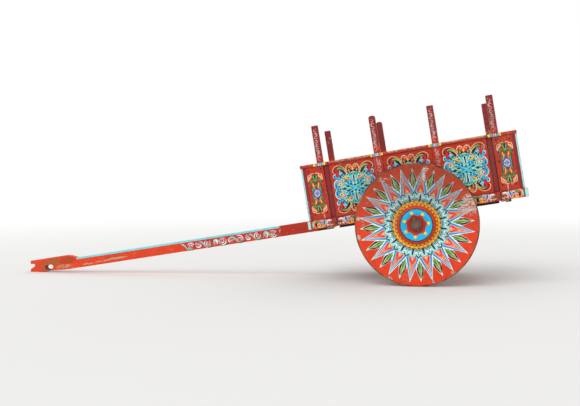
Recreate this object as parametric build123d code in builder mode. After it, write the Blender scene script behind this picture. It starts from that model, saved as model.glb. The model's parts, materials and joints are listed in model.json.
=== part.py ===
from build123d import *
import math
import os

# Two-wheeled bullock cart with solid wheels, parked with the tip of its pole on the floor.
# Units are millimetres. +X points to the rear, +Z up, and the sides mirror across Y = 0.
# The box and the pole lie in the bed's frame, which starts at the axle's centre:
# u runs to the rear along the bed, w stands normal to it, and y is the world's Y.

# Driving dimensions
WHEEL_DIA = 1250
BED_TILT = 9.12
POLE_TIP = -4555
POLE_LOW, POLE_HIGH = 64, 184
POLE_WIDTH = 90
RAIL_FRONT, RAIL_REAR = -1125, 1141
BOX_FRONT, BOX_REAR = -1105, 1117
RAIL_LOW, PANEL_LOW, PANEL_HIGH = 106, 195, 753
TOP_RAIL_DEPTH = 31
STAKE_HIGH = 1178
SIDE_INSIDE = 515
FLOOR_THICK = 22

WHEEL_R = WHEEL_DIA / 2
TURN = math.radians(BED_TILT)
U_DIR = Vector(math.cos(TURN), 0, math.sin(TURN))
W_DIR = Vector(-math.sin(TURN), 0, math.cos(TURN))

# The pole's head: its top stands above the shaft, and its tip is worn flat on the floor.
HEAD_HIGH = 229
HEAD_STEP_FRONT, HEAD_STEP_REAR = -4126, -3962


def floor_w(u):
    """Height in the bed's frame of the floor's surface at u."""
    return (-WHEEL_R - u * math.sin(TURN)) / math.cos(TURN)


# The axle stands where the whole cart's box is centred on X = 0.
TIP_X = POLE_TIP * U_DIR.X + HEAD_HIGH * W_DIR.X
REAR_X = RAIL_REAR * U_DIR.X + RAIL_LOW * W_DIR.X
AXLE = Vector(-(TIP_X + REAR_X) / 2, 0, WHEEL_R)

BED = Plane(origin=AXLE, x_dir=U_DIR, z_dir=W_DIR)
SIDE = Plane(origin=AXLE, x_dir=U_DIR, z_dir=(0, -1, 0))


def across(u):
    """Plane across the bed at u: its x is the world's Y, its y is w."""
    return Plane(origin=AXLE + U_DIR * u, x_dir=(0, 1, 0), z_dir=U_DIR)


def side_plane(y_from, y_to):
    """Side plane at the higher of two y values, so that a positive extrusion reaches the other."""
    return SIDE.offset(-max(y_from, y_to))


SIDES = (("left", -1), ("right", 1))

os.makedirs("parts", exist_ok=True)


def save(piece, label):
    """Label a finished piece and write it as its own file."""
    piece.part.label = label
    export_step(piece.part, f"parts/{label}.step")


# Pole. Its head has an oblong lashing hole, whose lower lip is worn through, and a notch in the tip.
TIP_FLAT, LIP_REACH = 60, 16
LASHING_U, LASHING_W, LASHING_LONG, LASHING_HIGH = -4334, 124, 104, 50
LIP_GAP_FRONT, LIP_GAP_REAR = -4358, -4308
NOTCH_U, NOTCH_W, NOTCH_R = -4525, 171, 18
POLE_REAR = 1000
BEARER_U = (-896, -290, 311, 910)
BEARER_HALF = 36
BEARER_LOW, LAP_W = 91, 124

with BuildPart() as tongue:
    with BuildSketch(SIDE):
        with BuildLine():
            outline = Polyline(
                (POLE_TIP, HEAD_HIGH),
                (POLE_TIP, NOTCH_W),
                (POLE_TIP - LIP_REACH, 118),
                (POLE_TIP - LIP_REACH, floor_w(POLE_TIP - LIP_REACH)),
                (POLE_TIP + TIP_FLAT, floor_w(POLE_TIP + TIP_FLAT)),
                (POLE_TIP + 355, POLE_LOW + 6),
                (POLE_TIP + 475, POLE_LOW),
                (POLE_REAR, POLE_LOW),
                (POLE_REAR, POLE_HIGH),
                (HEAD_STEP_REAR, POLE_HIGH),
            )
            cove = ThreePointArc(outline @ 1, (-3988, 188), (-4010, 197))
            slope = Line(cove @ 1, (-4058, 218))
            round_over = ThreePointArc(slope @ 1, (-4090, 226), (HEAD_STEP_FRONT, HEAD_HIGH))
            Line(round_over @ 1, outline @ 0)
        make_face()
        with Locations((LASHING_U, LASHING_W)):
            SlotOverall(LASHING_LONG, LASHING_HIGH, mode=Mode.SUBTRACT)
        with BuildLine():
            Polyline(
                (LIP_GAP_FRONT, LASHING_W),
                (LIP_GAP_FRONT + 9, POLE_LOW),
                (LIP_GAP_REAR - 4, POLE_LOW),
                (LIP_GAP_REAR, LASHING_W),
                close=True,
            )
        make_face(mode=Mode.SUBTRACT)
        with Locations((NOTCH_U, NOTCH_W)):
            Circle(NOTCH_R, mode=Mode.SUBTRACT)
        with BuildLine():
            Polyline(
                (NOTCH_U, NOTCH_W + NOTCH_R - 1),
                (POLE_TIP - 30, NOTCH_W + NOTCH_R + 3),
                (POLE_TIP - 30, NOTCH_W - 48),
                (NOTCH_U + 10, NOTCH_W - NOTCH_R + 3),
                close=True,
            )
        make_face(mode=Mode.SUBTRACT)
    extrude(amount=POLE_WIDTH / 2, both=True)
    # Half-laps where the pole drops over the cross bearers
    with BuildSketch(SIDE):
        with Locations(*[(u, (POLE_LOW + LAP_W) / 2) for u in BEARER_U]):
            Rectangle(2 * BEARER_HALF, LAP_W - POLE_LOW)
    extrude(amount=POLE_WIDTH, both=True, mode=Mode.SUBTRACT)
save(tongue, "tongue")

# Axle beam, with its long lower edges taken off
BEAM_HALF, BEAM_LOW, BEAM_EDGE = 50, -50, 12
BEAM_END = 560


def beam_outline():
    """Closed outline of the axle beam's section, in u and w."""
    return Polyline(
        (-BEAM_HALF, POLE_LOW),
        (-BEAM_HALF, BEAM_LOW + BEAM_EDGE),
        (-BEAM_HALF + BEAM_EDGE, BEAM_LOW),
        (BEAM_HALF - BEAM_EDGE, BEAM_LOW),
        (BEAM_HALF, BEAM_LOW + BEAM_EDGE),
        (BEAM_HALF, POLE_LOW),
        close=True,
    )


with BuildPart() as axle_beam:
    with BuildSketch(SIDE):
        with BuildLine():
            beam_outline()
        make_face()
    extrude(amount=BEAM_END, both=True)
save(axle_beam, "axle_beam")

# Iron bands round the beam's ends
BAND_FROM, BAND_TO, BAND_THICK = 515, 550, 6

with BuildPart() as axle_bands:
    for name, sign in SIDES:
        with BuildSketch(side_plane(sign * BAND_FROM, sign * BAND_TO)):
            with BuildLine():
                beam_outline()
            make_face()
            offset(amount=BAND_THICK, kind=Kind.INTERSECTION)
            with BuildLine():
                beam_outline()
            make_face(mode=Mode.SUBTRACT)
        extrude(amount=BAND_TO - BAND_FROM)
save(axle_bands, "axle_bands")

# Bolsters between the beam and the two middle bearers, notched over the beam
BOLSTER_FROM, BOLSTER_TO = 380, 460
BOLSTER_FRONT, BOLSTER_REAR, BOLSTER_LOW = -372, 392, 44
BOLSTER_END = 40

with BuildPart() as bolsters:
    for name, sign in SIDES:
        with BuildSketch(side_plane(sign * BOLSTER_FROM, sign * BOLSTER_TO)):
            with BuildLine():
                Polyline(
                    (BOLSTER_FRONT, BEARER_LOW),
                    (BOLSTER_FRONT, BEARER_LOW - 18),
                    (BOLSTER_FRONT + BOLSTER_END, BOLSTER_LOW),
                    (-BEAM_HALF, BOLSTER_LOW),
                    (-BEAM_HALF, POLE_LOW),
                    (BEAM_HALF, POLE_LOW),
                    (BEAM_HALF, BOLSTER_LOW),
                    (BOLSTER_REAR - BOLSTER_END, BOLSTER_LOW),
                    (BOLSTER_REAR, BEARER_LOW - 18),
                    (BOLSTER_REAR, BEARER_LOW),
                    close=True,
                )
            make_face()
        extrude(amount=BOLSTER_TO - BOLSTER_FROM)
save(bolsters, "bolsters")

# Iron straps that hold the beam up to the bolsters
STRAP_FROM, STRAP_TO, STRAP_THICK = 398, 442, 6
STRAP_FOOT = 60

with BuildPart() as axle_straps:
    for name, sign in SIDES:
        leg_in, leg_out = BEAM_HALF, BEAM_HALF + STRAP_THICK
        foot_low = BOLSTER_LOW - STRAP_THICK
        with BuildSketch(side_plane(sign * STRAP_FROM, sign * STRAP_TO)):
            with BuildLine():
                Polyline(
                    (-leg_out - STRAP_FOOT, BOLSTER_LOW),
                    (-leg_out - STRAP_FOOT, foot_low),
                    (-leg_out, foot_low),
                    (-leg_out, BEAM_LOW - STRAP_THICK),
                    (leg_out, BEAM_LOW - STRAP_THICK),
                    (leg_out, foot_low),
                    (leg_out + STRAP_FOOT, foot_low),
                    (leg_out + STRAP_FOOT, BOLSTER_LOW),
                    (leg_in, BOLSTER_LOW),
                    (leg_in, BEAM_LOW),
                    (-leg_in, BEAM_LOW),
                    (-leg_in, BOLSTER_LOW),
                    close=True,
                )
            make_face()
        extrude(amount=STRAP_TO - STRAP_FROM)
save(axle_straps, "axle_straps")

# Cross bearers, half-lapped over the pole, with a blind mortise for each stake's tenon
BEARER_END = 528
STAKE_INSIDE, STAKE_WIDE = 477, 70
TENON_WIDE, TENON_LOW = 44, 112
STAKE_MIDDLE = (STAKE_INSIDE + SIDE_INSIDE) / 2
STAKE_THICK = SIDE_INSIDE - STAKE_INSIDE

for number, u in enumerate(BEARER_U, 1):
    with BuildPart() as bearer:
        with BuildSketch(across(u)):
            with Locations((0, (BEARER_LOW + POLE_HIGH) / 2)):
                Rectangle(2 * BEARER_END, POLE_HIGH - BEARER_LOW)
            with Locations((0, (LAP_W + POLE_HIGH) / 2)):
                Rectangle(POLE_WIDTH, POLE_HIGH - LAP_W, mode=Mode.SUBTRACT)
        extrude(amount=BEARER_HALF, both=True)
        with BuildSketch(BED.offset(TENON_LOW)):
            with Locations((u, STAKE_MIDDLE), (u, -STAKE_MIDDLE)):
                Rectangle(TENON_WIDE, STAKE_THICK)
        extrude(amount=POLE_HIGH, mode=Mode.SUBTRACT)
    save(bearer, f"cross_bearer_{number}")

# Floor boards, cut out round the stakes
BOARD_COUNT, BOARD_GAP = 8, 3
FLOOR_HALF = SIDE_INSIDE - 1
BOARD_WIDE = (2 * FLOOR_HALF - (BOARD_COUNT - 1) * BOARD_GAP) / BOARD_COUNT
FLOOR_FRONT, FLOOR_REAR = BOX_FRONT + 5, BOX_REAR - 5
FLOOR_TOP = POLE_HIGH + FLOOR_THICK

with BuildPart() as floor_boards:
    with BuildSketch(BED.offset(POLE_HIGH)):
        with Locations(((FLOOR_FRONT + FLOOR_REAR) / 2, 0)):
            with GridLocations(0, BOARD_WIDE + BOARD_GAP, 1, BOARD_COUNT):
                Rectangle(FLOOR_REAR - FLOOR_FRONT, BOARD_WIDE)
        with Locations(*[(u, sign * STAKE_MIDDLE) for u in BEARER_U for sign in (-1, 1)]):
            Rectangle(STAKE_WIDE + 2, STAKE_THICK + 2, mode=Mode.SUBTRACT)
    extrude(amount=FLOOR_THICK)
save(floor_boards, "floor_boards")

# Sides. Each row of the table is one upright piece of the wall.
# Columns: kind, its front edge in u, its rear edge in u.
BATTEN_HALF = 42.5
RECESS = 56
FRONT_SEAM, REAR_SEAM = -868, 872
WALL = (
    ("end_boards", BOX_FRONT, FRONT_SEAM),
    ("recess_strips", FRONT_SEAM, FRONT_SEAM + RECESS),
    ("side_panels", FRONT_SEAM + RECESS, BEARER_U[1] - BATTEN_HALF),
    ("side_battens", BEARER_U[1] - BATTEN_HALF, BEARER_U[1] + BATTEN_HALF),
    ("side_panels", BEARER_U[1] + BATTEN_HALF, BEARER_U[2] - BATTEN_HALF),
    ("side_battens", BEARER_U[2] - BATTEN_HALF, BEARER_U[2] + BATTEN_HALF),
    ("side_panels", BEARER_U[2] + BATTEN_HALF, REAR_SEAM - RECESS),
    ("recess_strips", REAR_SEAM - RECESS, REAR_SEAM),
    ("end_boards", REAR_SEAM, BOX_REAR),
)
# Outer face of each kind, as a distance from Y = 0
WALL_OUTSIDE = {"end_boards": 540, "recess_strips": 524, "side_panels": 537, "side_battens": 547}
RAIL_OUTSIDE = 545
CAP_INSIDE, CAP_OUTSIDE = 497, 549
CAP_FRONT, CAP_REAR = -1113, 1121
FIT = 0.5

for name, sign in SIDES:
    for kind, outside in WALL_OUTSIDE.items():
        with BuildPart() as wall:
            with BuildSketch(side_plane(sign * SIDE_INSIDE, sign * outside)):
                for row_kind, front, rear in WALL:
                    if row_kind == kind:
                        with Locations(((front + rear) / 2, (PANEL_LOW + PANEL_HIGH) / 2)):
                            Rectangle(rear - front, PANEL_HIGH - PANEL_LOW)
            extrude(amount=outside - SIDE_INSIDE)
        save(wall, f"{kind}_{name}")

    with BuildPart() as bottom_rail:
        with BuildSketch(side_plane(sign * SIDE_INSIDE, sign * RAIL_OUTSIDE)):
            with Locations(((RAIL_FRONT + RAIL_REAR) / 2, (RAIL_LOW + PANEL_LOW) / 2)):
                Rectangle(RAIL_REAR - RAIL_FRONT, PANEL_LOW - RAIL_LOW)
        extrude(amount=RAIL_OUTSIDE - SIDE_INSIDE)
        # Pockets for the bearers' ends
        with BuildSketch(side_plane(sign * SIDE_INSIDE, sign * BEARER_END)):
            with Locations(*[(u, (RAIL_LOW + POLE_HIGH) / 2) for u in BEARER_U]):
                Rectangle(2 * BEARER_HALF, POLE_HIGH - RAIL_LOW)
        extrude(amount=BEARER_END - SIDE_INSIDE, mode=Mode.SUBTRACT)
    save(bottom_rail, f"bottom_rail_{name}")

    with BuildPart() as top_rail:
        with BuildSketch(BED.offset(PANEL_HIGH)):
            with Locations(((CAP_FRONT + CAP_REAR) / 2, sign * (CAP_INSIDE + CAP_OUTSIDE) / 2)):
                Rectangle(CAP_REAR - CAP_FRONT, CAP_OUTSIDE - CAP_INSIDE)
            with Locations(*[(u, sign * STAKE_MIDDLE) for u in BEARER_U]):
                Rectangle(STAKE_WIDE + 2 * FIT, STAKE_THICK + 2 * FIT, mode=Mode.SUBTRACT)
        extrude(amount=TOP_RAIL_DEPTH)
        fillet(top_rail.faces().sort_by(Axis((0, 0, 0), W_DIR))[-1].edges().group_by(Edge.length)[-1], 5)
    save(top_rail, f"top_rail_{name}")

# Stakes. Columns: number, radius of the two top corners.
STAKE_TOPS = ((1, 7), (2, 26), (3, 7), (4, 7))

for name, sign in SIDES:
    for number, corner in STAKE_TOPS:
        u = BEARER_U[number - 1]
        with BuildPart() as stake:
            with BuildSketch(side_plane(sign * STAKE_INSIDE, sign * SIDE_INSIDE)) as face:
                with Locations((u, (POLE_HIGH + STAKE_HIGH) / 2)):
                    Rectangle(STAKE_WIDE, STAKE_HIGH - POLE_HIGH)
                fillet(face.vertices().group_by(Axis.Y)[-1], corner)
                with Locations((u, (TENON_LOW + POLE_HIGH) / 2)):
                    Rectangle(TENON_WIDE, POLE_HIGH - TENON_LOW)
            extrude(amount=STAKE_THICK)
        save(stake, f"stake_{name}_{number}")

# End gates, each a panel of boards with two cleats on its outer face
GATE_THICK, GATE_HIGH = 24, 702
GATE_HALF = SIDE_INSIDE - 2
GATE_GROOVE = 4
GATE_BOARDS = 4
GATES = (("front", BEARER_U[0], 1), ("rear", BEARER_U[3], -1))
CLEAT_WIDE, CLEAT_THICK = 36, 30

for name, stake_u, inward in GATES:
    gate_u = stake_u + inward * (STAKE_WIDE / 2 + 2 + GATE_THICK / 2)
    board_high = (GATE_HIGH - FLOOR_TOP) / GATE_BOARDS
    seams = [FLOOR_TOP + board_high * step for step in range(1, GATE_BOARDS)]
    with BuildPart() as gate:
        with BuildSketch(across(gate_u)):
            with Locations((0, (FLOOR_TOP + GATE_HIGH) / 2)):
                Rectangle(2 * GATE_HALF, GATE_HIGH - FLOOR_TOP)
        extrude(amount=GATE_THICK / 2, both=True)
        for face_side in (-1, 1):
            with BuildSketch(SIDE):
                with Locations(*[(gate_u + face_side * GATE_THICK / 2, seam) for seam in seams]):
                    Rectangle(GATE_GROOVE, GATE_GROOVE, rotation=45)
            extrude(amount=SIDE_INSIDE, both=True, mode=Mode.SUBTRACT)
    save(gate, f"gate_{name}")

with BuildPart() as gate_cleats:
    with BuildSketch(BED.offset(FLOOR_TOP)):
        for name, stake_u, inward in GATES:
            cleat_u = stake_u + inward * (STAKE_WIDE / 2 + 4 + GATE_THICK + CLEAT_WIDE / 2)
            for side_name, sign in SIDES:
                with Locations((cleat_u, sign * (SIDE_INSIDE - CLEAT_THICK / 2))):
                    Rectangle(CLEAT_WIDE, CLEAT_THICK)
    extrude(amount=PANEL_HIGH - FLOOR_TOP)
save(gate_cleats, "gate_cleats")

# Axle arms, washers and linchpins. s is the distance outward from Y = 0.
ARM_R, ARM_END = 30, 800
COLLAR_R, COLLAR_END = 48, 580
WASHER_R, WASHER_FROM, WASHER_TO = 50, 771, 778
PIN_S, PIN_THICK, PIN_LEAN, PIN_CLEAR = 786, 10, 20, 0.3


def hub_plane(sign):
    """Plane through the axle's axis: its x is s, its y is the radius upward."""
    return Plane(origin=AXLE, x_dir=(0, sign, 0), z_dir=(sign, 0, 0))


def ring_plane(sign, s):
    """Plane square to the axle at s, facing outward."""
    return Plane(origin=AXLE + Vector(0, sign * s, 0), x_dir=(1, 0, 0), z_dir=(0, sign, 0))


def pin_plane(sign, amount=0):
    """Plane of the linchpin's inner face, less an amount: its y runs up along the leaning pin."""
    lean = math.radians(PIN_LEAN)
    across_pin = Vector(math.cos(lean), 0, math.sin(lean))
    face = AXLE + Vector(0, sign * (PIN_S - PIN_THICK / 2 - amount), 0)
    return Plane(origin=face, x_dir=across_pin * -sign, z_dir=(0, sign, 0))


def pin_outline():
    """Closed outline of a forged flat linchpin: a flared head, and a shank that tapers to its foot."""
    return Polyline(
        (-12, 78),
        (-12, 66),
        (-8, 58),
        (-5.5, -62),
        (5.5, -62),
        (8, 58),
        (12, 66),
        (12, 78),
        close=True,
    )


AXLE_AXIS = Axis(AXLE, (0, 1, 0))

for name, sign in SIDES:
    with BuildPart() as axle_arm:
        with BuildSketch(ring_plane(sign, BEAM_END)):
            Circle(COLLAR_R)
        extrude(amount=COLLAR_END - BEAM_END)
        with BuildSketch(ring_plane(sign, COLLAR_END)):
            Circle(ARM_R)
        extrude(amount=ARM_END - COLLAR_END)
        with BuildSketch(pin_plane(sign, PIN_CLEAR)):
            with BuildLine():
                pin_outline()
            make_face()
            offset(amount=PIN_CLEAR, kind=Kind.INTERSECTION)
        extrude(amount=PIN_THICK + 2 * PIN_CLEAR, mode=Mode.SUBTRACT)
    save(axle_arm, f"axle_arm_{name}")

with BuildPart() as axle_washers:
    for name, sign in SIDES:
        with BuildSketch(ring_plane(sign, WASHER_FROM)):
            Circle(WASHER_R)
            Circle(ARM_R + 1, mode=Mode.SUBTRACT)
        extrude(amount=WASHER_TO - WASHER_FROM)
save(axle_washers, "axle_washers")

with BuildPart() as linchpins:
    for name, sign in SIDES:
        with BuildSketch(pin_plane(sign)):
            with BuildLine():
                pin_outline()
            make_face()
        extrude(amount=PIN_THICK)
save(linchpins, "linchpins")

# Wheels: sixteen wedges inside an iron tyre, on a turned hub with an iron box
WHEEL_IN, WHEEL_OUT = 641, 717
TYRE_THICK = 12
HUB_SWELL = 10
WEDGE_COUNT, WEDGE_GAP = 16, 0.6
NAVE_R, FLANGE_R, INNER_FLANGE_R = 150, 215, 176
RING_S, RING_R, DISH_R = 778, 160, 108
DISH_S, DISH_FOOT_R = 757, 66
HUB_IN, HUB_IN_R = 590, 110
BOX_R, BOX_IN, BOX_OUT = 52, 585, 764
BORE_CLEAR = 0.06
DISC_R = WHEEL_R - TYRE_THICK


def swell(r):
    """How far the disc's faces stand out from the rim at radius r: a cone, thickest at the nave."""
    return HUB_SWELL * (DISC_R - r) / (DISC_R - NAVE_R)


def half_span(r):
    """Half the angle that a wedge fills at radius r, less its half of the joint."""
    return 180 / WEDGE_COUNT - math.degrees(math.asin(WEDGE_GAP / 2 / r))


# One wedge, in its own frame: x runs out from the axle, z outward along it. Both faces are planed flat,
# so that sixteen of them make a disc that is thickest at the nave.
with BuildPart() as wedge:
    with BuildSketch():
        with BuildLine():
            rim = CenterArc((0, 0), DISC_R, -half_span(DISC_R), 2 * half_span(DISC_R))
            tip = CenterArc((0, 0), NAVE_R, -half_span(NAVE_R), 2 * half_span(NAVE_R))
            Line(rim @ 0, tip @ 0)
            Line(rim @ 1, tip @ 1)
        make_face()
    extrude(amount=WHEEL_OUT, both=True)
    with BuildSketch(Plane.XZ):
        with BuildLine():
            straight = math.cos(math.pi / WEDGE_COUNT)
            thin = (WHEEL_OUT - WHEEL_IN) / 2
            faces = Polyline(
                (0, -thin - swell(0)),
                (DISC_R * straight, -thin),
                (WHEEL_R, -thin - swell(WHEEL_R / straight)),
                (WHEEL_R, thin + swell(WHEEL_R / straight)),
                (DISC_R * straight, thin),
                (0, thin + swell(0)),
                close=True,
            )
        make_face()
    extrude(amount=DISC_R, both=True, mode=Mode.INTERSECT)

for name, sign in SIDES:
    with BuildPart(ring_plane(sign, (WHEEL_IN + WHEEL_OUT) / 2)) as wedges:
        with PolarLocations(0, WEDGE_COUNT, start_angle=270 / WEDGE_COUNT):
            add(wedge.part)
    save(wedges, f"wheel_{name}_wedges")

    with BuildPart() as tyre:
        with BuildSketch(hub_plane(sign)):
            with Locations(((WHEEL_IN + WHEEL_OUT) / 2, WHEEL_R - TYRE_THICK / 2)):
                Rectangle(WHEEL_OUT - WHEEL_IN, TYRE_THICK)
        revolve(axis=AXLE_AXIS)
    save(tyre, f"wheel_{name}_tyre")

    # The hub clamps the wedges' tips between its inner and outer flanges.
    with BuildPart() as hub:
        with BuildSketch(hub_plane(sign)):
            with BuildLine():
                inner_face = WHEEL_IN - swell(INNER_FLANGE_R)
                outer_face = WHEEL_OUT + swell(FLANGE_R)
                Polyline(
                    (DISH_S, BOX_R),
                    (HUB_IN, BOX_R),
                    (HUB_IN, HUB_IN_R),
                    (inner_face, INNER_FLANGE_R),
                    (WHEEL_IN - HUB_SWELL, NAVE_R),
                    (WHEEL_OUT + HUB_SWELL, NAVE_R),
                    (outer_face, FLANGE_R),
                    (outer_face + 6, FLANGE_R),
                    (RING_S, RING_R),
                    (RING_S, DISH_R),
                    (DISH_S, DISH_FOOT_R),
                    close=True,
                )
            make_face()
        revolve(axis=AXLE_AXIS)
    save(hub, f"wheel_{name}_hub")

    with BuildPart() as hub_box:
        with BuildSketch(ring_plane(sign, BOX_IN)):
            Circle(BOX_R)
            Circle(ARM_R + BORE_CLEAR, mode=Mode.SUBTRACT)
        extrude(amount=BOX_OUT - BOX_IN)
    save(hub_box, f"wheel_{name}_box")
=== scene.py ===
"""A painted bullock cart, parked on its pole: paint, ornament, ironwork, weather, stage and camera."""
import json
import math
import random

import bmesh
import bpy
from mathutils import Matrix, Vector


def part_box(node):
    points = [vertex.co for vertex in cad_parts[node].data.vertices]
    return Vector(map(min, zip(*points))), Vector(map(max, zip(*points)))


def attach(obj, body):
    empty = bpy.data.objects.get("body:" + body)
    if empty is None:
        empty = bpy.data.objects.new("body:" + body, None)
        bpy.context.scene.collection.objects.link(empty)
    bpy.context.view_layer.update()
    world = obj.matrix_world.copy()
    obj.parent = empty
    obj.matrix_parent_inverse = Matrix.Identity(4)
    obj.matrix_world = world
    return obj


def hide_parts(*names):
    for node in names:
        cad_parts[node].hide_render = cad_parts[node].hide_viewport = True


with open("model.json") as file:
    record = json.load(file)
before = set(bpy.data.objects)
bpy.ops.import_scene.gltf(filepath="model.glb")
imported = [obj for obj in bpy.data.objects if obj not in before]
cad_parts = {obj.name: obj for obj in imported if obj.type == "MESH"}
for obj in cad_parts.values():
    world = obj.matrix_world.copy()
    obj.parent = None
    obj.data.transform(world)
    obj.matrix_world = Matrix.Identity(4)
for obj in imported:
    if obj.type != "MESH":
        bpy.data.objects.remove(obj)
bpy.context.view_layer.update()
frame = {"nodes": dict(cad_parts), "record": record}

bl_info = {
    "name": "Painted bullock cart",
    "version": (1, 0, 0),
    "blender": (4, 5, 0),
    "location": "View3D > Sidebar > Cart",
    "description": "Dresses a two-wheeled bullock cart with paint, ornament, ironwork and wear",
    "category": "Object",
}

MM = 0.001
SIDES = (("left", -1), ("right", 1))

# The axle's centre, and the bed's pitch as the cart stands on its pole
AXLE = Vector((1.71197, 0, 0.625))
BED_PITCH = 0.1591
ALONG = Vector((math.cos(BED_PITCH), 0, math.sin(BED_PITCH)))
ABOVE = Vector((-math.sin(BED_PITCH), 0, math.cos(BED_PITCH)))

# Faces that carry paint, as distances out from the cart's middle, in mm
PANEL_FACE, BATTEN_FACE, END_FACE, RAIL_FACE = 537, 547, 540, 545
TOP_RAIL_FACE, STAKE_FACE, POLE_FACE = 549, 515, 45

# The wheel: sixteen wedges, planed flat and thickest at the nave, with a turned hub.
# The middle of the first stands so many degrees clockwise of the top, seen from outside.
DISC_R, NAVE_R, WHEEL_FACE, HUB_SWELL = 613, 150, 717, 10
WEDGES, FIRST_WEDGE = 16, 5.625
WEDGE_PITCH = 360 / WEDGES


def disc_face(x, y):
    """How far out the disc's outer face stands at a point of the wheel's plane, in mm."""
    clockwise = math.degrees(math.atan2(x, y)) - FIRST_WEDGE
    off_middle = (clockwise + WEDGE_PITCH / 2) % WEDGE_PITCH - WEDGE_PITCH / 2
    reach = math.hypot(x, y) * math.cos(math.radians(off_middle)) / math.cos(math.pi / WEDGES)
    return WHEEL_FACE + HUB_SWELL * (DISC_R - reach) / (DISC_R - NAVE_R)


def linear(value):
    """A display colour value from 0 to 255 as a linear one."""
    value /= 255
    return value / 12.92 if value <= 0.04045 else ((value + 0.055) / 1.055) ** 2.4


def paint(name, description, *rgb):
    """A colour setting, from display values."""
    return bpy.props.FloatVectorProperty(
        name=name, description=description, subtype="COLOR", size=3, min=0, max=1,
        default=[linear(v) for v in rgb],
    )


def amount(name, description):
    """A setting from none to full."""
    return bpy.props.FloatProperty(name=name, description=description, default=0.5, min=0, max=1,
                                   subtype="FACTOR")


class CartPaints(bpy.types.PropertyGroup):
    body_red: paint("Body red", "Boards and rails", 190, 50, 26)
    pole_red: paint("Pole red", "The pole", 232, 68, 30)
    band_red: paint("Band red", "Ground under the pole's rosettes", 212, 54, 42)
    pole_shade: paint("Pole red by the box", "The pole's darker rear half", 190, 48, 28)
    wheel_red: paint("Wheel red", "Ground of the wheels", 230, 66, 30)
    wine: paint("Wine", "Recesses and border stripes", 142, 42, 44)
    white: paint("White", "Highlights and scrolls", 250, 253, 246)
    cream: paint("Cream", "Pale yellow outlines", 240, 228, 165)
    pale_pink: paint("Pale pink", "Scrolls on the stakes", 222, 178, 172)
    pink: paint("Pink", "Rose petals", 226, 130, 150)
    rose: paint("Rose", "Darker petals", 196, 48, 66)
    maroon: paint("Maroon", "Dark curls", 120, 14, 50)
    scarlet: paint("Scarlet", "Chevrons and dots", 246, 18, 62)
    salmon: paint("Salmon", "Wheel rays", 244, 138, 98)
    peach: paint("Peach", "Scalloped edgings", 246, 178, 146)
    orange: paint("Orange", "Petals and beads", 250, 158, 22)
    ochre: paint("Ochre", "Leaf flanks", 214, 186, 128)
    yellow: paint("Yellow", "Beads, dots and leaves", 255, 220, 62)
    lime: paint("Lime", "Leaf highlights", 166, 208, 84)
    leaf: paint("Leaf", "Middles of the wheel leaves", 122, 200, 76)
    green: paint("Green", "Leaves", 70, 158, 74)
    dark_green: paint("Dark green", "Leaf veins", 16, 74, 52)
    mint: paint("Mint", "Lace and grounds", 118, 226, 196)
    aqua: paint("Aqua", "Pale strokes", 168, 240, 228)
    sea: paint("Sea green", "Ground of the panel ornament", 104, 206, 190)
    teal: paint("Teal", "Scallop outlines", 6, 98, 112)
    sky: paint("Sky blue", "Hub rings and scrolls", 22, 190, 238)
    cyan: paint("Cyan", "Top of the pole", 128, 222, 230)
    blue: paint("Blue", "Deeper strokes", 12, 100, 200)
    ray_blue: paint("Ray blue", "Stripes along the wheel rays", 0, 156, 226)
    navy: paint("Navy", "Fine dark lines", 8, 10, 60)
    dusty_pink: paint("Dusty pink", "Scrolls on the stakes and battens", 196, 146, 140)
    # This paint is painted shade, with some dirt, inside the pole's hole and tip notch
    hollow_dirt_and_shade: paint("Soot", "Hollows and joints that hold dirt", 34, 22, 18)
    # Umber also darkens the pole under the box, as painted shade
    umber: paint("Umber", "The pole under the box", 64, 34, 26)
    lilac: paint("Lilac", "Diamonds on the end boards", 146, 156, 216)


class CartWeather(bpy.types.PropertyGroup):
    grime: amount("Grime", "How much dirt lies on the paint")
    chips: amount("Chips", "How much paint has come off")
    fading: amount("Fading", "How far the sun has bleached the paint")


class CartSettings(bpy.types.PropertyGroup):
    paints: bpy.props.PointerProperty(type=CartPaints)
    weather: bpy.props.PointerProperty(type=CartWeather)


def chosen(key):
    """A paint's colour, as its setting has it."""
    return [*getattr(bpy.context.scene.bullock_cart.paints, key), 1]


def toned(colour, tint):
    """A colour with each of its parts made darker or lighter."""
    return [*(part * by for part, by in zip(colour, tint)), 1]


# Node helpers
def node(tree, kind, inputs=None, **settings):
    """Adds a shader node, sets it up, and gives its inputs values or links."""
    made = tree.nodes.new("ShaderNode" + kind)
    for key, value in settings.items():
        setattr(made, key, value)
    for key, value in (inputs or {}).items():
        if isinstance(value, bpy.types.NodeSocket):
            tree.links.new(value, made.inputs[key])
        else:
            made.inputs[key].default_value = value
    return made


def maths(tree, operation, a, b=0.0, c=0.0, clamp=False):
    """One sum on numbers."""
    return node(tree, "Math", {0: a, 1: b, 2: c}, operation=operation, use_clamp=clamp).outputs[0]


def times(tree, a, b):
    """One number times another."""
    return maths(tree, "MULTIPLY", a, b)


def sloped(tree, value, slope, start):
    """A number times a slope, with a start added."""
    return maths(tree, "MULTIPLY_ADD", value, slope, start)


def joined(tree, operation, values):
    """All the values taken together, such as the greatest or the least of them."""
    total = values[0]
    for value in values[1:]:
        total = maths(tree, operation, total, value)
    return total


def vector_maths(tree, operation, a, b):
    """One sum on vectors."""
    return node(tree, "VectorMath", {0: a, 1: b}, operation=operation).outputs[0]


def length(tree, vector):
    """How long a vector is."""
    return node(tree, "VectorMath", {0: vector}, operation="LENGTH").outputs["Value"]


def parts_of(tree, vector):
    """A vector's three parts."""
    return node(tree, "SeparateXYZ", {0: vector}).outputs


def mix(tree, factor, a, b, blend="MIX"):
    """Colour a turned towards colour b by factor."""
    made = node(tree, "Mix", {"Factor": factor, 6: a, 7: b}, data_type="RGBA", blend_type=blend,
                clamp_factor=True)
    return made.outputs[2]


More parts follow.
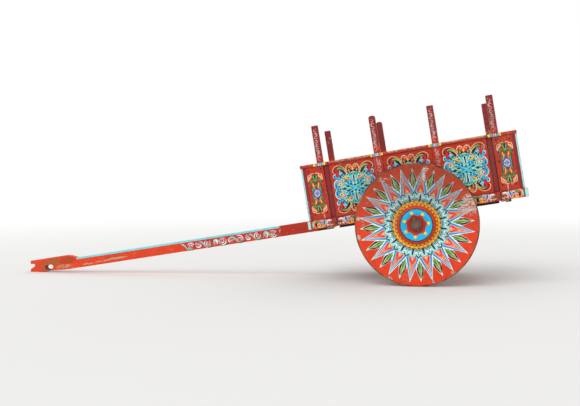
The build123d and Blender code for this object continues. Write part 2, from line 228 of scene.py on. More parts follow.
def fade(tree, value, low, high, smooth=True):
    """0 where value is at or below low, 1 at or above high."""
    made = node(tree, "MapRange", {"Value": value, "From Min": low, "From Max": high},
                interpolation_type="SMOOTHSTEP" if smooth else "LINEAR")
    return made.outputs["Result"]


def noise(tree, vector, scale, stretch=(1, 1, 1), detail=3.0, roughness=0.5, offset=(0, 0, 0),
          distortion=0.0):
    """Soft noise of so many cells a metre, drawn out along an axis by a stretch above 1."""
    cells = [scale / s for s in stretch]
    scaled = node(tree, "Mapping", {"Vector": vector, "Location": offset, "Scale": cells})
    made = node(tree, "TexNoise", {"Vector": scaled.outputs[0], "Scale": 1.0, "Detail": detail,
                                   "Roughness": roughness, "Distortion": distortion})
    return made.outputs["Fac"]


def object_place(tree):
    """Object coordinates, which are the whole cart's, as every piece has its origin there."""
    return node(tree, "TexCoord").outputs["Object"]


def cart_vector(tree):
    """Object coordinates turned to the bed: along it, across it, and above it, from the axle."""
    moved = node(tree, "Mapping", {"Vector": object_place(tree), "Location": -AXLE})
    pitched = node(tree, "Mapping", {"Vector": moved.outputs[0], "Rotation": (0, BED_PITCH, 0)})
    return pitched.outputs[0]


def wheel_place(tree):
    """Object coordinates from the axle, not pitched with the bed."""
    return vector_maths(tree, "SUBTRACT", object_place(tree), AXLE)


def from_hub(tree, vector):
    """Distance from the wheels' axis, in metres."""
    return length(tree, vector_maths(tree, "MULTIPLY", vector, (1, 0, 1)))


def weather_masks(tree, vector):
    """Grime, chips and fading that run on from one piece to the next."""
    weather = bpy.context.scene.bullock_cart.weather
    broad = noise(tree, vector, 2.6, detail=4, offset=(3.1, 0.4, 7.7))
    fine = noise(tree, vector, 24, detail=5, roughness=0.62, offset=(0.5, 2.5, 1.5))
    dirt = sloped(tree, fine, 0.55, times(tree, broad, 0.75))
    grime = fade(tree, dirt, 0.78 - 0.22 * weather.grime, 1.06 - 0.22 * weather.grime)
    patches = noise(tree, vector, 5, detail=2, offset=(9.2, 4.4, 2.2))
    specks = noise(tree, vector, 55, detail=4, roughness=0.65, offset=(1.7, 6.1, 3.3))
    worn = sloped(tree, patches, 0.45, times(tree, specks, 0.75))
    chips = fade(tree, worn, 0.80 - 0.1 * weather.chips, 0.815 - 0.1 * weather.chips)
    return grime, chips, broad


def principled(tree, colour, rough, bump, distance, metal=0.0):
    """The surface shader and output, with a relief so many metres high."""
    relief = node(tree, "Bump", {"Height": bump, "Distance": distance, "Strength": 1.0})
    shader = node(tree, "BsdfPrincipled", {"Base Color": colour, "Roughness": rough, "Metallic": metal,
                                           "Normal": relief.outputs[0], "Specular IOR Level": 0.25})
    node(tree, "OutputMaterial", {"Surface": shader.outputs[0]})


def new_material(name):
    """An empty material and its node tree."""
    made = bpy.data.materials.new(name)
    made.use_nodes = True
    made.node_tree.nodes.clear()
    return made, made.node_tree


WOOD_GREY = (0.34, 0.27, 0.18, 1)
# The brown of dirt, also painted as shade on the wheels' upper halves and in the hubs' dishes
DIRT_AND_SHADE_BROWN = (0.075, 0.046, 0.026, 1)
# Near black, for dirt and painted shade in the wall's joints and for the wheels' wedge joints
JOINT_DIRT_AND_SHADE = (0.014, 0.009, 0.007, 1)
BRUSH_ALONG = {"along": (9, 1, 1), "across": (1, 9, 1), "above": (1, 1, 9), "round": (1, 1, 1)}
GRAIN_ALONG = {"along": (26, 1, 1), "across": (1, 26, 1)}

# Old wounds in the paint: place from the axle, reach (both along, across, above, in metres), colour, and how
# much of the ground they cover. A wheel's are on its own round; the rest are on the bed.
PALE_SMEAR = (0.56, 0.54, 0.46, 1)
BEIGE_WEAR = (0.56, 0.38, 0.24, 1)
NAIL_STAIN = (0.035, 0.02, 0.014, 1)
WHEEL_SCARS = (
    ((0.530, -0.68, 0.215), (0.090, 0.3, 0.100), PALE_SMEAR, 0.62),
    ((0.470, -0.68, 0.170), (0.070, 0.3, 0.060), PALE_SMEAR, 0.45),
    ((0.085, -0.68, 0.556), (0.030, 0.3, 0.028), PALE_SMEAR, 0.6),
    ((0.070, -0.68, 0.500), (0.016, 0.3, 0.066), PALE_SMEAR, 0.66),
    ((-0.585, -0.68, -0.135), (0.026, 0.3, 0.024), PALE_SMEAR, 0.7),
    ((-0.590, -0.68, 0.055), (0.020, 0.3, 0.020), PALE_SMEAR, 0.7),
    ((-0.340, -0.68, 0.455), (0.060, 0.3, 0.026), PALE_SMEAR, 0.4),
    ((-0.265, -0.68, -0.545), (0.024, 0.3, 0.022), BEIGE_WEAR, 0.7),
    ((0.365, -0.68, -0.475), (0.022, 0.3, 0.018), BEIGE_WEAR, 0.7),
    ((0.17, -0.68, -0.575), (0.016, 0.3, 0.014), BEIGE_WEAR, 0.8),
    ((-0.31, 0.68, 0.505), (0.060, 0.3, 0.040), PALE_SMEAR, 0.4),
    ((0.575, 0.68, -0.07), (0.028, 0.3, 0.044), PALE_SMEAR, 0.5),
    ((0.12, 0.68, -0.58), (0.050, 0.3, 0.018), BEIGE_WEAR, 0.7),
)
POLE_SCARS = (
    ((-4.27, 0, 0.172), (0.16, 2, 0.050), (0.44, 0.115, 0.032, 1), 0.75),
    ((-4.09, 0, 0.168), (0.095, 2, 0.050), (0.50, 0.066, 0.020, 1), 0.8),
    ((-4.40, 0, 0.120), (0.05, 2, 0.040), (0.44, 0.130, 0.040, 1), 0.5),
    ((-3.50, 0, 0.107), (0.13, 2, 0.011), BEIGE_WEAR, 0.85),
    ((-3.66, 0, 0.100), (0.11, 2, 0.008), BEIGE_WEAR, 0.6),
    ((-3.84, 0, 0.092), (0.09, 2, 0.009), BEIGE_WEAR, 0.7),
    ((-4.14, 0, 0.106), (0.10, 2, 0.022), BEIGE_WEAR, 0.6),
    ((-4.03, 0, 0.074), (0.10, 2, 0.007), BEIGE_WEAR, 0.5),
    ((-4.24, 0, 0.078), (0.07, 2, 0.008), BEIGE_WEAR, 0.5),
    ((-3.30, 0, 0.135), (0.10, 2, 0.012), BEIGE_WEAR, 0.25),
    ((-2.95, 0, 0.10), (0.16, 2, 0.010), BEIGE_WEAR, 0.22),
)
# Nails in the rear end boards, along and above from the middle; the front's are their mirror image
END_NAILS = ((-0.074, 0.248), (-0.072, 0.024), (-0.076, -0.214), (0.058, 0.236), (0.056, -0.222))
END_SCARS = (
    ((0.955, 0, 0.235), (0.006, 2, 0.045), PALE_SMEAR, 0.8),
    ((-0.935, 0, 0.225), (0.006, 2, 0.03), PALE_SMEAR, 0.7),
    *(((middle + way * x, 0, 0.473 + z), (0.008, 2, 0.009), NAIL_STAIN, 1)
      for middle, way in ((0.981, 1), (-0.972, -1)) for x, z in END_NAILS),
)
TOP_RAIL_SCARS = tuple(
    ((at, 0, 0.780), (reach, 2, 0.013), BEIGE_WEAR, cover)
    for at, reach, cover in ((-0.62, 0.20, 0.55), (-0.42, 0.08, 0.8), (-0.12, 0.10, 0.7), (0.10, 0.16, 0.55),
                             (0.50, 0.14, 0.7), (0.74, 0.12, 0.75), (-1.02, 0.05, 0.4), (1.03, 0.06, 0.3)))


def scarred(tree, colour, vector, ragged, scars):
    """Shows each scar's colour inside its torn outline, as far as it covers."""
    torn = []
    flakes = noise(tree, vector, 74, stretch=(2, 1, 1), detail=6, roughness=0.74, offset=(5, 5, 9))
    for centre, reach, shown, cover in scars:
        moved = vector_maths(tree, "SUBTRACT", vector, centre)
        away = length(tree, vector_maths(tree, "MULTIPLY", moved, [1 / r for r in reach]))
        inside = fade(tree, sloped(tree, ragged, 2.6, away), 2.34, 2.22)
        if cover < 1:
            flaked = fade(tree, flakes, 0.66 - 0.36 * cover, 0.72 - 0.30 * cover)
            inside = times(tree, inside, flaked)
        colour = mix(tree, inside, colour, shown)
        torn.append(inside)
    return colour, joined(tree, "MAXIMUM", torn)


# Painted areas: each limit is an axis (0 along the bed, 1 out to either side, 2 above) with its low and high,
# in metres; then the paint, and how ragged its edge is.
POLE_ZONES = (
    (((0, -1.53, 1), (2, 0, 1)), "pole_shade", 0.12),
    # The pole under the box: painted shade in umber
    (((0, -1.10, 2), (2, 0, 1)), "umber", 0.10),
    (((0, -2.66, -1.54), (2, 0.074, 0.1635)), "band_red", 0.014),
    (((0, -3.975, -1.532), (2, 0.1635, 1)), "cyan", 0.010),
    # The insides of the pole's hole and of its tip notch: painted shade, with some dirt
    (((0, -4.393, -4.275), (1, -1, 0.0438), (2, 0.05, 0.152)), "hollow_dirt_and_shade", 0.002),
    (((0, -4.60, -4.504), (1, -1, 0.0438), (2, 0.12, 0.192)), "hollow_dirt_and_shade", 0.002),
)
END_ZONES = (
    (((0, 1.065, 1.100), (2, 0.2, 0.8), (1, 0.52, 1)), "wine", 0.004),
    (((0, 1.1025, 2), (2, 0.2, 0.8), (1, 0.52, 1)), "aqua", 0.004),
    (((0, 1.1125, 2), (2, 0.2, 0.8), (1, 0.52, 1)), "sky", 0.003),
    (((0, -1.0875, -1.0525), (2, 0.2, 0.8), (1, 0.52, 1)), "wine", 0.004),
    (((0, -2, -1.0905), (2, 0.2, 0.8), (1, 0.52, 1)), "aqua", 0.004),
    (((0, -2, -1.1005), (2, 0.2, 0.8), (1, 0.52, 1)), "sky", 0.003),
)
RAIL_ZONES = (
    (((0, 1.112, 2), (1, 0.52, 1)), "aqua", 0.006),
    (((0, -2, -1.096), (1, 0.52, 1)), "aqua", 0.006),
)
STAKE_ZONES = ((((0, -2, 2), (2, 0, 0.86)), "body_red", 0.30),)
ZONE_BLUR = 0.0006


def zoned(tree, colour, vector, ragged, zones):
    """Fills each area with its paint, out to an edge drawn by hand."""
    along, across, above = parts_of(tree, vector)
    places = (along, maths(tree, "ABSOLUTE", across), above)
    for limits, key, torn in zones:
        depths = []
        for axis, low, high in limits:
            off = maths(tree, "ABSOLUTE", maths(tree, "SUBTRACT", places[axis], (low + high) / 2))
            depths.append(maths(tree, "SUBTRACT", (high - low) / 2, off))
        edge = sloped(tree, ragged, torn, -0.5 * torn)
        depth = maths(tree, "ADD", joined(tree, "MINIMUM", depths), edge)
        colour = mix(tree, fade(tree, depth, -ZONE_BLUR, ZONE_BLUR), colour, chosen(key))
    return colour


# Where the wall's boards meet, darkened there by dirt and painted shade: along the bed and above it, with
# half the joint's width, in metres
UPRIGHT_JOINTS = ((-0.866, 0.0030), (-0.813, 0.0065), (-0.3325, 0.0026), (-0.2475, 0.0026), (0.2685, 0.0026),
                  (0.3535, 0.0026), (0.8165, 0.0065), (0.870, 0.0060))
LEVEL_JOINTS = ((0.1975, 0.0036), (0.7510, 0.0030))


def joint_dirt_and_shade(tree, vector, ragged):
    """Dirt and painted shade in the joints between the wall's boards."""
    along, _, above = parts_of(tree, vector)
    seams = []
    for place, joints in ((along, UPRIGHT_JOINTS), (above, LEVEL_JOINTS)):
        for at, half in joints:
            off = maths(tree, "ABSOLUTE", maths(tree, "SUBTRACT", place, at))
            off = sloped(tree, ragged, -0.004, maths(tree, "ADD", off, 0.002))
            seams.append(fade(tree, off, half + 0.0012, half * 0.5))
    return joined(tree, "MAXIMUM", seams)


def wedge_joints(tree, place, ragged):
    """Thin dark lines where a wheel's sixteen wedges meet."""
    along, across, above = parts_of(tree, place)
    outside = times(tree, along, maths(tree, "SIGN", times(tree, across, -1)))
    pitch = math.radians(WEDGE_PITCH)
    turns = maths(tree, "DIVIDE", maths(tree, "ARCTAN2", outside, above), pitch)
    # Half a wheel more keeps the count above zero, and half a wedge puts the joints at whole numbers.
    shift = WEDGES / 2 + 0.5 - FIRST_WEDGE / WEDGE_PITCH
    turns = maths(tree, "FRACT", maths(tree, "ADD", turns, shift))
    off = maths(tree, "MINIMUM", turns, maths(tree, "SUBTRACT", 1, turns))
    away = times(tree, times(tree, off, pitch), from_hub(tree, place))
    return fade(tree, sloped(tree, ragged, 0.002, away), 0.0026, 0.0014)


# How far out the box's inner faces stand, and the share of their paint that loads have rubbed off
BOX_INSIDE, INSIDE_RUBBED = 0.515, 0.24


def rubbed_off(tree, vector, brush, broad, rubbed, inside):
    """Where hands, ropes and loads have rubbed the paint off."""
    stretch = [1 + s / 3 for s in BRUSH_ALONG[brush]]
    scraped = noise(tree, vector, 34, stretch=stretch, detail=5, roughness=0.7, offset=(6, 6, 2))
    scraped = sloped(tree, broad, 0.4, maths(tree, "SUBTRACT", scraped, 0.2))
    _, across, above = parts_of(tree, vector)
    if inside:
        # The lower boards inside the box are rubbed most.
        scraped = sloped(tree, fade(tree, above, 0.62, 0.22), 0.11, scraped)
    gone = fade(tree, scraped, 0.70 - 0.4 * rubbed, 0.735 - 0.4 * rubbed)
    if inside:
        inner_face = fade(tree, maths(tree, "ABSOLUTE", across), BOX_INSIDE + 0.001, BOX_INSIDE + 0.0005)
        gone = times(tree, gone, inner_face)
    return gone


def enamel(key, brush="along", worn=1.0, name=None, scars=(), upper_dirt_and_shade=0.0, zones=(), joints=False,
           rubbed=0.0, inside=False):
    """Oil enamel laid on with a brush: streaks, fading, dirt, chips down to the wood, and named scars.

    On a wheel, the upper-half amount darkens its upper half, partly as dirt and partly as painted shade.
    Rubbed is the share of the paint gone, as along an edge. Inside is for nodes whose inner faces line the
    box, where loads have rubbed them."""
    name = name or key
    if name in bpy.data.materials:
        return bpy.data.materials[name]
    colour = chosen(key)
    material, tree = new_material(name)
    vector = cart_vector(tree)
    place = wheel_place(tree) if upper_dirt_and_shade else vector
    grime, chips, broad = weather_masks(tree, vector)

    # Ground, uneven in tone and bleached in patches
    streaks = noise(tree, vector, 170, stretch=BRUSH_ALONG[brush], detail=3, roughness=0.6)
    blotch = noise(tree, vector, 9, detail=3, offset=(4, 4, 4))
    blotch = fade(tree, blotch, 0.3, 0.7, smooth=False)
    mottle = noise(tree, vector, 52, detail=4, roughness=0.62, offset=(2, 7, 1))
    mottle = fade(tree, mottle, 0.3, 0.7, smooth=False)
    shade = sloped(tree, streaks, 0.30, sloped(tree, blotch, 0.16, 0.66))
    shade = sloped(tree, mottle, 0.24, shade)
    ragged = noise(tree, vector, 60, detail=4, roughness=0.66, offset=(8, 3, 5))
    ground = zoned(tree, colour, vector, ragged, zones) if zones else colour
    tone = mix(tree, 1.0, ground, shade, "MULTIPLY")
    pale = mix(tree, 1.0, tone, (0.85, 0.80, 0.78, 1), "MULTIPLY")
    bleached = mix(tree, 1.0, pale, (0.07, 0.048, 0.034, 1), "ADD")
    fading = bpy.context.scene.bullock_cart.weather.fading
    faded = mix(tree, times(tree, fade(tree, broad, 0.42, 0.72), 0.5 * fading), tone, bleached)

    # Dirt, and on a wheel's upper half painted shade as well
    if upper_dirt_and_shade:
        # A parked wheel's upper half is darker: partly rain-washed dirt, partly painted shade.
        up = parts_of(tree, place)[2]
        high = fade(tree, sloped(tree, broad, 0.5, up), 0.05, 0.85)
        soil_and_shade = times(tree, high, sloped(tree, mottle, 0.7, 0.45))
        grime = maths(tree, "MAXIMUM", grime, times(tree, soil_and_shade, upper_dirt_and_shade))
    dirty = mix(tree, times(tree, grime, 0.62), faded, DIRT_AND_SHADE_BROWN)

    # Bare wood under chips, rubbed places and scars
    grain = noise(tree, vector, 120, stretch=BRUSH_ALONG[brush], detail=4)
    wood = mix(tree, grain, toned(WOOD_GREY, (0.6, 0.6, 0.6)), toned(WOOD_GREY, (1.7, 1.7, 1.7)))
    bare = maths(tree, "MULTIPLY", chips, worn, clamp=True)
    if rubbed or inside:
        gone = rubbed_off(tree, vector, brush, broad, rubbed or INSIDE_RUBBED, inside)
        bare = maths(tree, "MAXIMUM", bare, times(tree, gone, 0.9))
    final = mix(tree, bare, dirty, wood)
    if scars:
        final, torn = scarred(tree, final, place, ragged, scars)
        bare = maths(tree, "MAXIMUM", bare, torn)

    # Dark joints: dirt and painted shade between the wall's boards, dark lines between a wheel's wedges
    gap = None
    if joints:
        gap = joint_dirt_and_shade(tree, vector, ragged)
    elif upper_dirt_and_shade:
        gap = times(tree, wedge_joints(tree, place, ragged), 0.6)
    if gap is not None:
        final = mix(tree, times(tree, gap, 0.9), final, JOINT_DIRT_AND_SHADE)

    rough = sloped(tree, grime, 0.25, sloped(tree, mottle, 0.14, 0.40))
    rough = maths(tree, "MAXIMUM", rough, times(tree, bare, 0.85))
    height = sloped(tree, streaks, 0.5, times(tree, bare, -0.7))
    height = sloped(tree, mottle, 0.22, height)
    principled(tree, final, rough, height, distance=0.0006)
    return material


def wheel_enamel(key):
    """Paint on a wheel, its upper half darkened by dirt and painted shade."""
    return enamel(key, "round", name=f"{key}_on_wheel", scars=WHEEL_SCARS, upper_dirt_and_shade=1.15)


def pole_enamel(key):
    """Paint on the pole."""
    return enamel(key, "along", name=f"{key}_on_pole", scars=POLE_SCARS)


def end_enamel(key):
    """Paint on the end boards."""
    return enamel(key, "above", name=f"{key}_on_end", scars=END_SCARS)


def edge_enamel(key, brush, zones=()):
    """Paint along an edge, half rubbed away."""
    return enamel(key, brush, name=f"{key}_edge_{brush}_{len(zones)}", rubbed=0.5, zones=zones)


def bare_wood(name, lay, tint):
    """Weathered timber with long grain and dark checks."""
    if name in bpy.data.materials:
        return bpy.data.materials[name]
    material, tree = new_material(name)
    vector = cart_vector(tree)
    grime, _, broad = weather_masks(tree, vector)
    long_way = GRAIN_ALONG[lay]
    fibre = noise(tree, vector, 260, stretch=long_way, detail=5, roughness=0.62, distortion=0.4)
    bands = noise(tree, vector, 46, stretch=long_way, detail=3, offset=(2, 5, 8), distortion=1.2)
    checks = noise(tree, vector, 90, stretch=[s * 1.6 for s in long_way], detail=2, offset=(7, 1, 3))
    checks = fade(tree, checks, 0.66, 0.72)
    grain = sloped(tree, fibre, 0.7, times(tree, bands, 0.4))
    timber = mix(tree, grain, toned((0.16, 0.10, 0.055), tint), toned((0.42, 0.33, 0.22), tint))
    weathered = times(tree, fade(tree, broad, 0.35, 0.7), 0.5)
    silver = mix(tree, weathered, timber, (0.30, 0.27, 0.23, 1))
    dark = mix(tree, times(tree, checks, 0.8), silver, (0.02, 0.014, 0.01, 1))
    dirty = mix(tree, times(tree, grime, 0.6), dark, DIRT_AND_SHADE_BROWN)
    height = sloped(tree, fibre, 0.7, times(tree, checks, -1.6))
    height = sloped(tree, bands, 0.8, height)
    rough = sloped(tree, fibre, 0.2, 0.66)
    principled(tree, dirty, rough, height, distance=0.0012)
    return material


def rusty_iron(name, dust=0.3):
    """Forged iron under dark rust, with brighter rubbed places and road dust."""
    if name in bpy.data.materials:
        return bpy.data.materials[name]
    material, tree = new_material(name)
    vector = cart_vector(tree)
    pits = noise(tree, vector, 150, detail=5, roughness=0.66)
    clouds = noise(tree, vector, 17, detail=4, offset=(6, 2, 1))
    rust = mix(tree, fade(tree, clouds, 0.36, 0.66), (0.045, 0.026, 0.018, 1), (0.17, 0.075, 0.036, 1))
    flecks = mix(tree, fade(tree, pits, 0.52, 0.66), rust, (0.235, 0.12, 0.06, 1))
    settled = times(tree, fade(tree, noise(tree, vector, 7, detail=3), 0.4, 0.7), dust)
    dusty = mix(tree, settled, flecks, (0.36, 0.27, 0.18, 1))
    rubbed = fade(tree, noise(tree, vector, 30, detail=4, offset=(1, 8, 4)), 0.64, 0.72)
    final = mix(tree, times(tree, rubbed, 0.5), dusty, (0.22, 0.19, 0.17, 1))
    rough = sloped(tree, rubbed, -0.3, sloped(tree, pits, 0.25, 0.62))
    metal = times(tree, rubbed, 0.7)
    height = sloped(tree, pits, 1.0, times(tree, clouds, 0.8))
    principled(tree, final, rough, height, distance=0.0012, metal=metal)
    return material


def put_on(name, material):
    """Gives a CAD node its finish."""
    data = frame["nodes"][name].data
    if not data.materials:
        data.materials.append(material)
    for index in range(len(data.materials)):
        data.materials[index] = material


SLOTS = {row["node"]: row["material_slot"] for row in frame["record"]["subparts"]}


def finish_table():
    """Each kind of node: the start of its name, its finish, its edges' finish, and their rounding, in mm."""
    wall = {"joints": True, "inside": True}
    panel = enamel("body_red", name="body_red_panel", **wall)
    upright = enamel("body_red", "above", name="body_red_upright", **wall)
    end = enamel("body_red", "above", name="body_red_end", scars=END_SCARS, zones=END_ZONES, **wall)
    rail = enamel("body_red", name="body_red_rail", zones=RAIL_ZONES, joints=True)
    pole = enamel("pole_red", name="pole_red_timber", scars=POLE_SCARS, zones=POLE_ZONES)
    gate = enamel("body_red", "across", name="body_red_gate", worn=1.5)
    wine = enamel("wine", "above", name="wine_board", joints=True)
    stake = enamel("wine", "above", name="wine_stake", zones=STAKE_ZONES)
    cap = enamel("body_red", name="body_red_cap", scars=TOP_RAIL_SCARS, joints=True)
    wheel = wheel_enamel("wheel_red")
    # The beams' timber is tinted lighter than the boards': pale wood, and painted light where the box shades
    # them
    beams_with_painted_light = bare_wood("timber_across", "across", (1.6, 1.4, 1.25))
    boards = bare_wood("timber_along", "along", (0.95, 0.95, 0.95))
    iron = rusty_iron("rusty_iron")
    red_edge = edge_enamel("body_red", "along")
    red_upright = edge_enamel("body_red", "above")
    return (
        ("tongue", pole, edge_enamel("pole_red", "along", POLE_ZONES), 4),
        ("bottom_rail_", rail, red_edge, 3),
        ("top_rail_", cap, red_edge, 1.6),
        ("end_boards_", end, edge_enamel("body_red", "above", END_ZONES), 2),
        ("side_panels_", panel, red_upright, 1.6),
        ("side_battens_", upright, red_upright, 3),
        ("recess_strips_", wine, wine, 1.6),
        ("stake_", stake, edge_enamel("wine", "above", STAKE_ZONES), 3),
        ("gate_cleats", upright, red_upright, 3),
        ("gate_", gate, edge_enamel("body_red", "across"), 3),
        ("floor_boards", boards, boards, 2),
        ("cross_bearer_", beams_with_painted_light, beams_with_painted_light, 3),
        ("axle_beam", beams_with_painted_light, beams_with_painted_light, 4),
        ("bolsters", boards, boards, 3),
        ("axle_", iron, iron, 1.4),
        ("linchpins", iron, iron, 1.4),
        *((f"wheel_{side}_wedges", wheel, wheel, 1.2) for side, _ in SIDES),
        *((f"wheel_{side}_hub", wheel, wheel, 0) for side, _ in SIDES),
        ("wheel_", iron, iron, 0),
    )


class CART_OT_finishes(bpy.types.Operator):
    """Gives every board, beam and iron its paint, wood or rust, on edges rounded by years of use"""
    bl_idname = "cart.finishes"
    bl_label = "Finishes"

    def execute(self, context):
        table = finish_table()
        for name in frame["nodes"]:
            row = next((row for row in table if name.startswith(row[0])), None)
            if row is None:
                raise RuntimeError(f"no finish is chosen for {name}")
            put_on(name, row[1])
            if row[3]:
                soften(name, *row[1:])
        return {"FINISHED"}


def to_mesh(bm, name, *finishes):
    """Makes a mesh with its finishes out of a bmesh, and frees that."""
    mesh = bpy.data.meshes.new(name)
    bm.to_mesh(mesh)
    bm.free()
    for finish in finishes:
        mesh.materials.append(finish)
    return mesh


# Points closer than this are one, in metres: in a CAD mesh, and in one made here
CAD_WELD, WELD = 1e-5, 1e-6
# Turns between faces, in degrees: flat below the first, rounded over the second, shaded sharp over the third
FLAT_TURN, ROUNDED_TURN, SHARP_TURN = 0.6, 28, 20


def soften(name, face_finish, edge_finish, width):
    """Puts a copy of a node, with its sharp edges rounded, in its place."""
    bm = bmesh.new()
    bm.from_mesh(frame["nodes"][name].data)
    bmesh.ops.remove_doubles(bm, verts=bm.verts, dist=CAD_WELD)
    bmesh.ops.dissolve_limit(bm, angle_limit=math.radians(FLAT_TURN), verts=bm.verts, edges=bm.edges)
    limit = math.radians(ROUNDED_TURN)
    sharp = [edge for edge in bm.edges if edge.is_manifold and edge.calc_face_angle(0) > limit]
    bmesh.ops.bevel(bm, geom=sharp, offset=width * MM, offset_type="OFFSET", affect="EDGES", segments=2,
                    profile=0.5, clamp_overlap=True, material=1)
    bmesh.ops.recalc_face_normals(bm, faces=bm.faces)
    mesh = smooth_sharp(to_mesh(bm, f"{name}_softened", face_finish, edge_finish), SHARP_TURN)
    side = next((side for side, _ in SIDES if name.startswith(f"wheel_{side}")), None)
    show(f"{name}_softened", mesh, f"{side}_wheel" if side else "cart", SLOTS[name], name)


# Painted ornament: strokes, dots and patches laid on flat in mm, then carried to the surface. While flat,
# levels of paint lie LEVEL_GAP apart and marks are twice SLAB thick.
LEVEL_GAP, SLAB = 200.0, 1
# On the surface, in mm: the lowest coat's height, the step up to the next level, how far a mark's middle
# stands over its edge, how deep its back is let in, and the finest half width of a stroke
COAT, COAT_STEP, RIDGE, ROOT, FINEST = 0.15, 0.16, 0.16, -0.6, 0.3
# How close to its level a flat mark's edge is, how unevenly a hand sizes its marks, and the radius of a dot's
# top as a share of its foot's
EVEN, UNEVEN, DOT_TOP = 0.01, 0.05, 0.8


def stroke(key, level, widths, *points, closed=False, smooth=True):
    """A brush stroke through points, with half widths along it."""
    return ("stroke", key, level, widths if isinstance(widths, tuple) else (widths,), points, closed, smooth)


def dot(key, level, radius, *centres, sides=12):
    """Round touches of the brush."""
    return ("dot", key, level, radius, centres, sides, None)


def patch(key, level, *points):
    """A filled shape with the outline given."""
    return ("patch", key, level, None, points, None, None)


def both_sides(key, level, widths, *points):
    """The same stroke on the one side and on the other."""
    return [stroke(key, level, widths, *[(way * x, y) for x, y in points]) for way in (1, -1)]


def two_sided(*points):
    """An outline from its foot up to its tip on the right, and down again on the left."""
    return (*points, *[(-x, y) for x, y in reversed(points[1:-1])])


def spot(x, y):
    """A place on a painted face, in mm."""
    return Matrix.Translation((x, y, 0))


def turned(degrees):
    """Clockwise about the middle."""
    return Matrix.Rotation(-math.radians(degrees), 4, "Z")


def round_wheel(count, start=0.0):
    """Turns all the way round the wheel, the first so many degrees past the top."""
    return [turned(start + 360 / count * k) for k in range(count)]


def stretched(x=1, y=1):
    """Drawn out or, below zero, mirrored."""
    return Matrix.Diagonal((x, y, 1, 1))


def along_widths(widths, share):
    """The half width a share of the way along."""
    if len(widths) == 1:
        return widths[0]
    place = share * (len(widths) - 1)
    first = min(int(place), len(widths) - 2)
    return widths[first] + (widths[first + 1] - widths[first]) * (place - first)


class Artwork:
    """Gathers one piece's painted marks and makes them one mesh."""

    def __init__(self, seed, wander):
        self.rows = {}
        self.random = random.Random(seed)
        self.wander = wander

    def draw(self, marks, *places):
        """Repeats the marks at each place, with a hand's small unevenness."""
        for place in places or (Matrix.Identity(4),):
            size = place.to_3x3().col[0].length
            for kind, key, level, widths, points, extra, smooth in marks:
                shift = Vector([self.random.uniform(-1, 1) * self.wander for _ in "xy"] + [0])
                moved = [place @ Vector((*p, 0)) + shift for p in points]
                grow = size * (1 + self.random.uniform(-UNEVEN, UNEVEN))
                self.rows.setdefault(key, []).append((kind, level, widths, moved, extra, smooth, grow))

    def curve_mesh(self, rows):
        """All strokes of one paint, as closed ribbons."""
        curve = bpy.data.curves.new("strokes", "CURVE")
        curve.dimensions = "3D"
        curve.twist_mode = "Z_UP"
        curve.bevel_depth = 1.0
        curve.bevel_resolution = 0
        curve.use_fill_caps = True
        for _, level, widths, points, closed, smooth, grow in rows:
            spline = curve.splines.new("NURBS" if smooth else "POLY")
            spline.points.add(len(points) - 1)
            last = len(points) - (0 if closed else 1)
            for index, (point, place) in enumerate(zip(spline.points, points)):
                point.co = (place.x, place.y, level * LEVEL_GAP, 1)
                point.radius = max(FINEST, along_widths(widths, index / last) * grow)
            spline.use_cyclic_u = closed
            if smooth:
                spline.order_u = min(4, len(points))
                spline.use_endpoint_u = not closed
                spline.resolution_u = 3
        holder = bpy.data.objects.new("strokes", curve)
        mesh = bpy.data.meshes.new_from_object(holder)
        bpy.data.objects.remove(holder)
        bpy.data.curves.remove(curve)
        return mesh

    def solids(self, rows):
        """All marks of one paint, still flat and in mm, with its coat's level in z."""
        bm = bmesh.new()
        strokes = [row for row in rows if row[0] == "stroke"]
        if strokes:
            mesh = self.curve_mesh(strokes)
            bm.from_mesh(mesh)
            bpy.data.meshes.remove(mesh)
        for kind, level, radius, points, sides, _, grow in rows:
            base = level * LEVEL_GAP
            if kind == "dot":
                for centre in points:
                    bmesh.ops.create_cone(
                        bm, cap_ends=True, segments=sides, radius1=radius * grow,
                        radius2=radius * grow * DOT_TOP, depth=2 * SLAB,
                        matrix=Matrix.Translation((centre.x, centre.y, base)))
            elif kind == "patch":
                outline = [bm.verts.new((p.x, p.y, base - SLAB)) for p in points]
                lifted = bmesh.ops.extrude_face_region(bm, geom=[bm.faces.new(outline)])
                raised = [v for v in lifted["geom"] if isinstance(v, bmesh.types.BMVert)]
                bmesh.ops.translate(bm, verts=raised, vec=(0, 0, 2 * SLAB))
        return bm

    def build(self, name, to_surface, body, slot, finish=enamel):
        """Makes the marks a mesh on the surface, in their paints."""
        whole = bmesh.new()
        for index, rows in enumerate(self.rows.values()):
            bm = self.solids(rows)
            for vert in bm.verts:
                level = round(vert.co.z / LEVEL_GAP)
                over = vert.co.z - level * LEVEL_GAP
                height = COAT + level * COAT_STEP
                if over > EVEN:
                    height += RIDGE
                elif over < -EVEN:
                    height = ROOT
                vert.co = to_surface(vert.co.x, vert.co.y, height)
            bmesh.ops.remove_doubles(bm, verts=bm.verts, dist=WELD)
            bmesh.ops.dissolve_degenerate(bm, dist=WELD, edges=bm.edges)
            bmesh.ops.recalc_face_normals(bm, faces=bm.faces)
            for face in bm.faces:
                face.smooth = False
                face.material_index = index
            layer = to_mesh(bm, "layer")
            whole.from_mesh(layer)
            bpy.data.meshes.remove(layer)
        show(name, to_mesh(whole, name, *[finish(key) for key in self.rows]), body, slot)


def show(name, mesh, body, slot, *nodes):
    """Puts a finished mesh in the scene, riding on its body, for any nodes it replaces."""
    made = bpy.data.objects.new(name, mesh)
    bpy.context.scene.collection.objects.link(made)
    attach(made, body)
    if nodes:
        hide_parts(*nodes)


def on_side(sign, face):
    """Carries x along the bed, y above it and z outward to a side's upright face, all in mm."""
    def carry(x, y, z):
        return AXLE + ALONG * (x * MM) + ABOVE * (y * MM) + Vector((0, sign * (face + z) * MM, 0))
    return carry


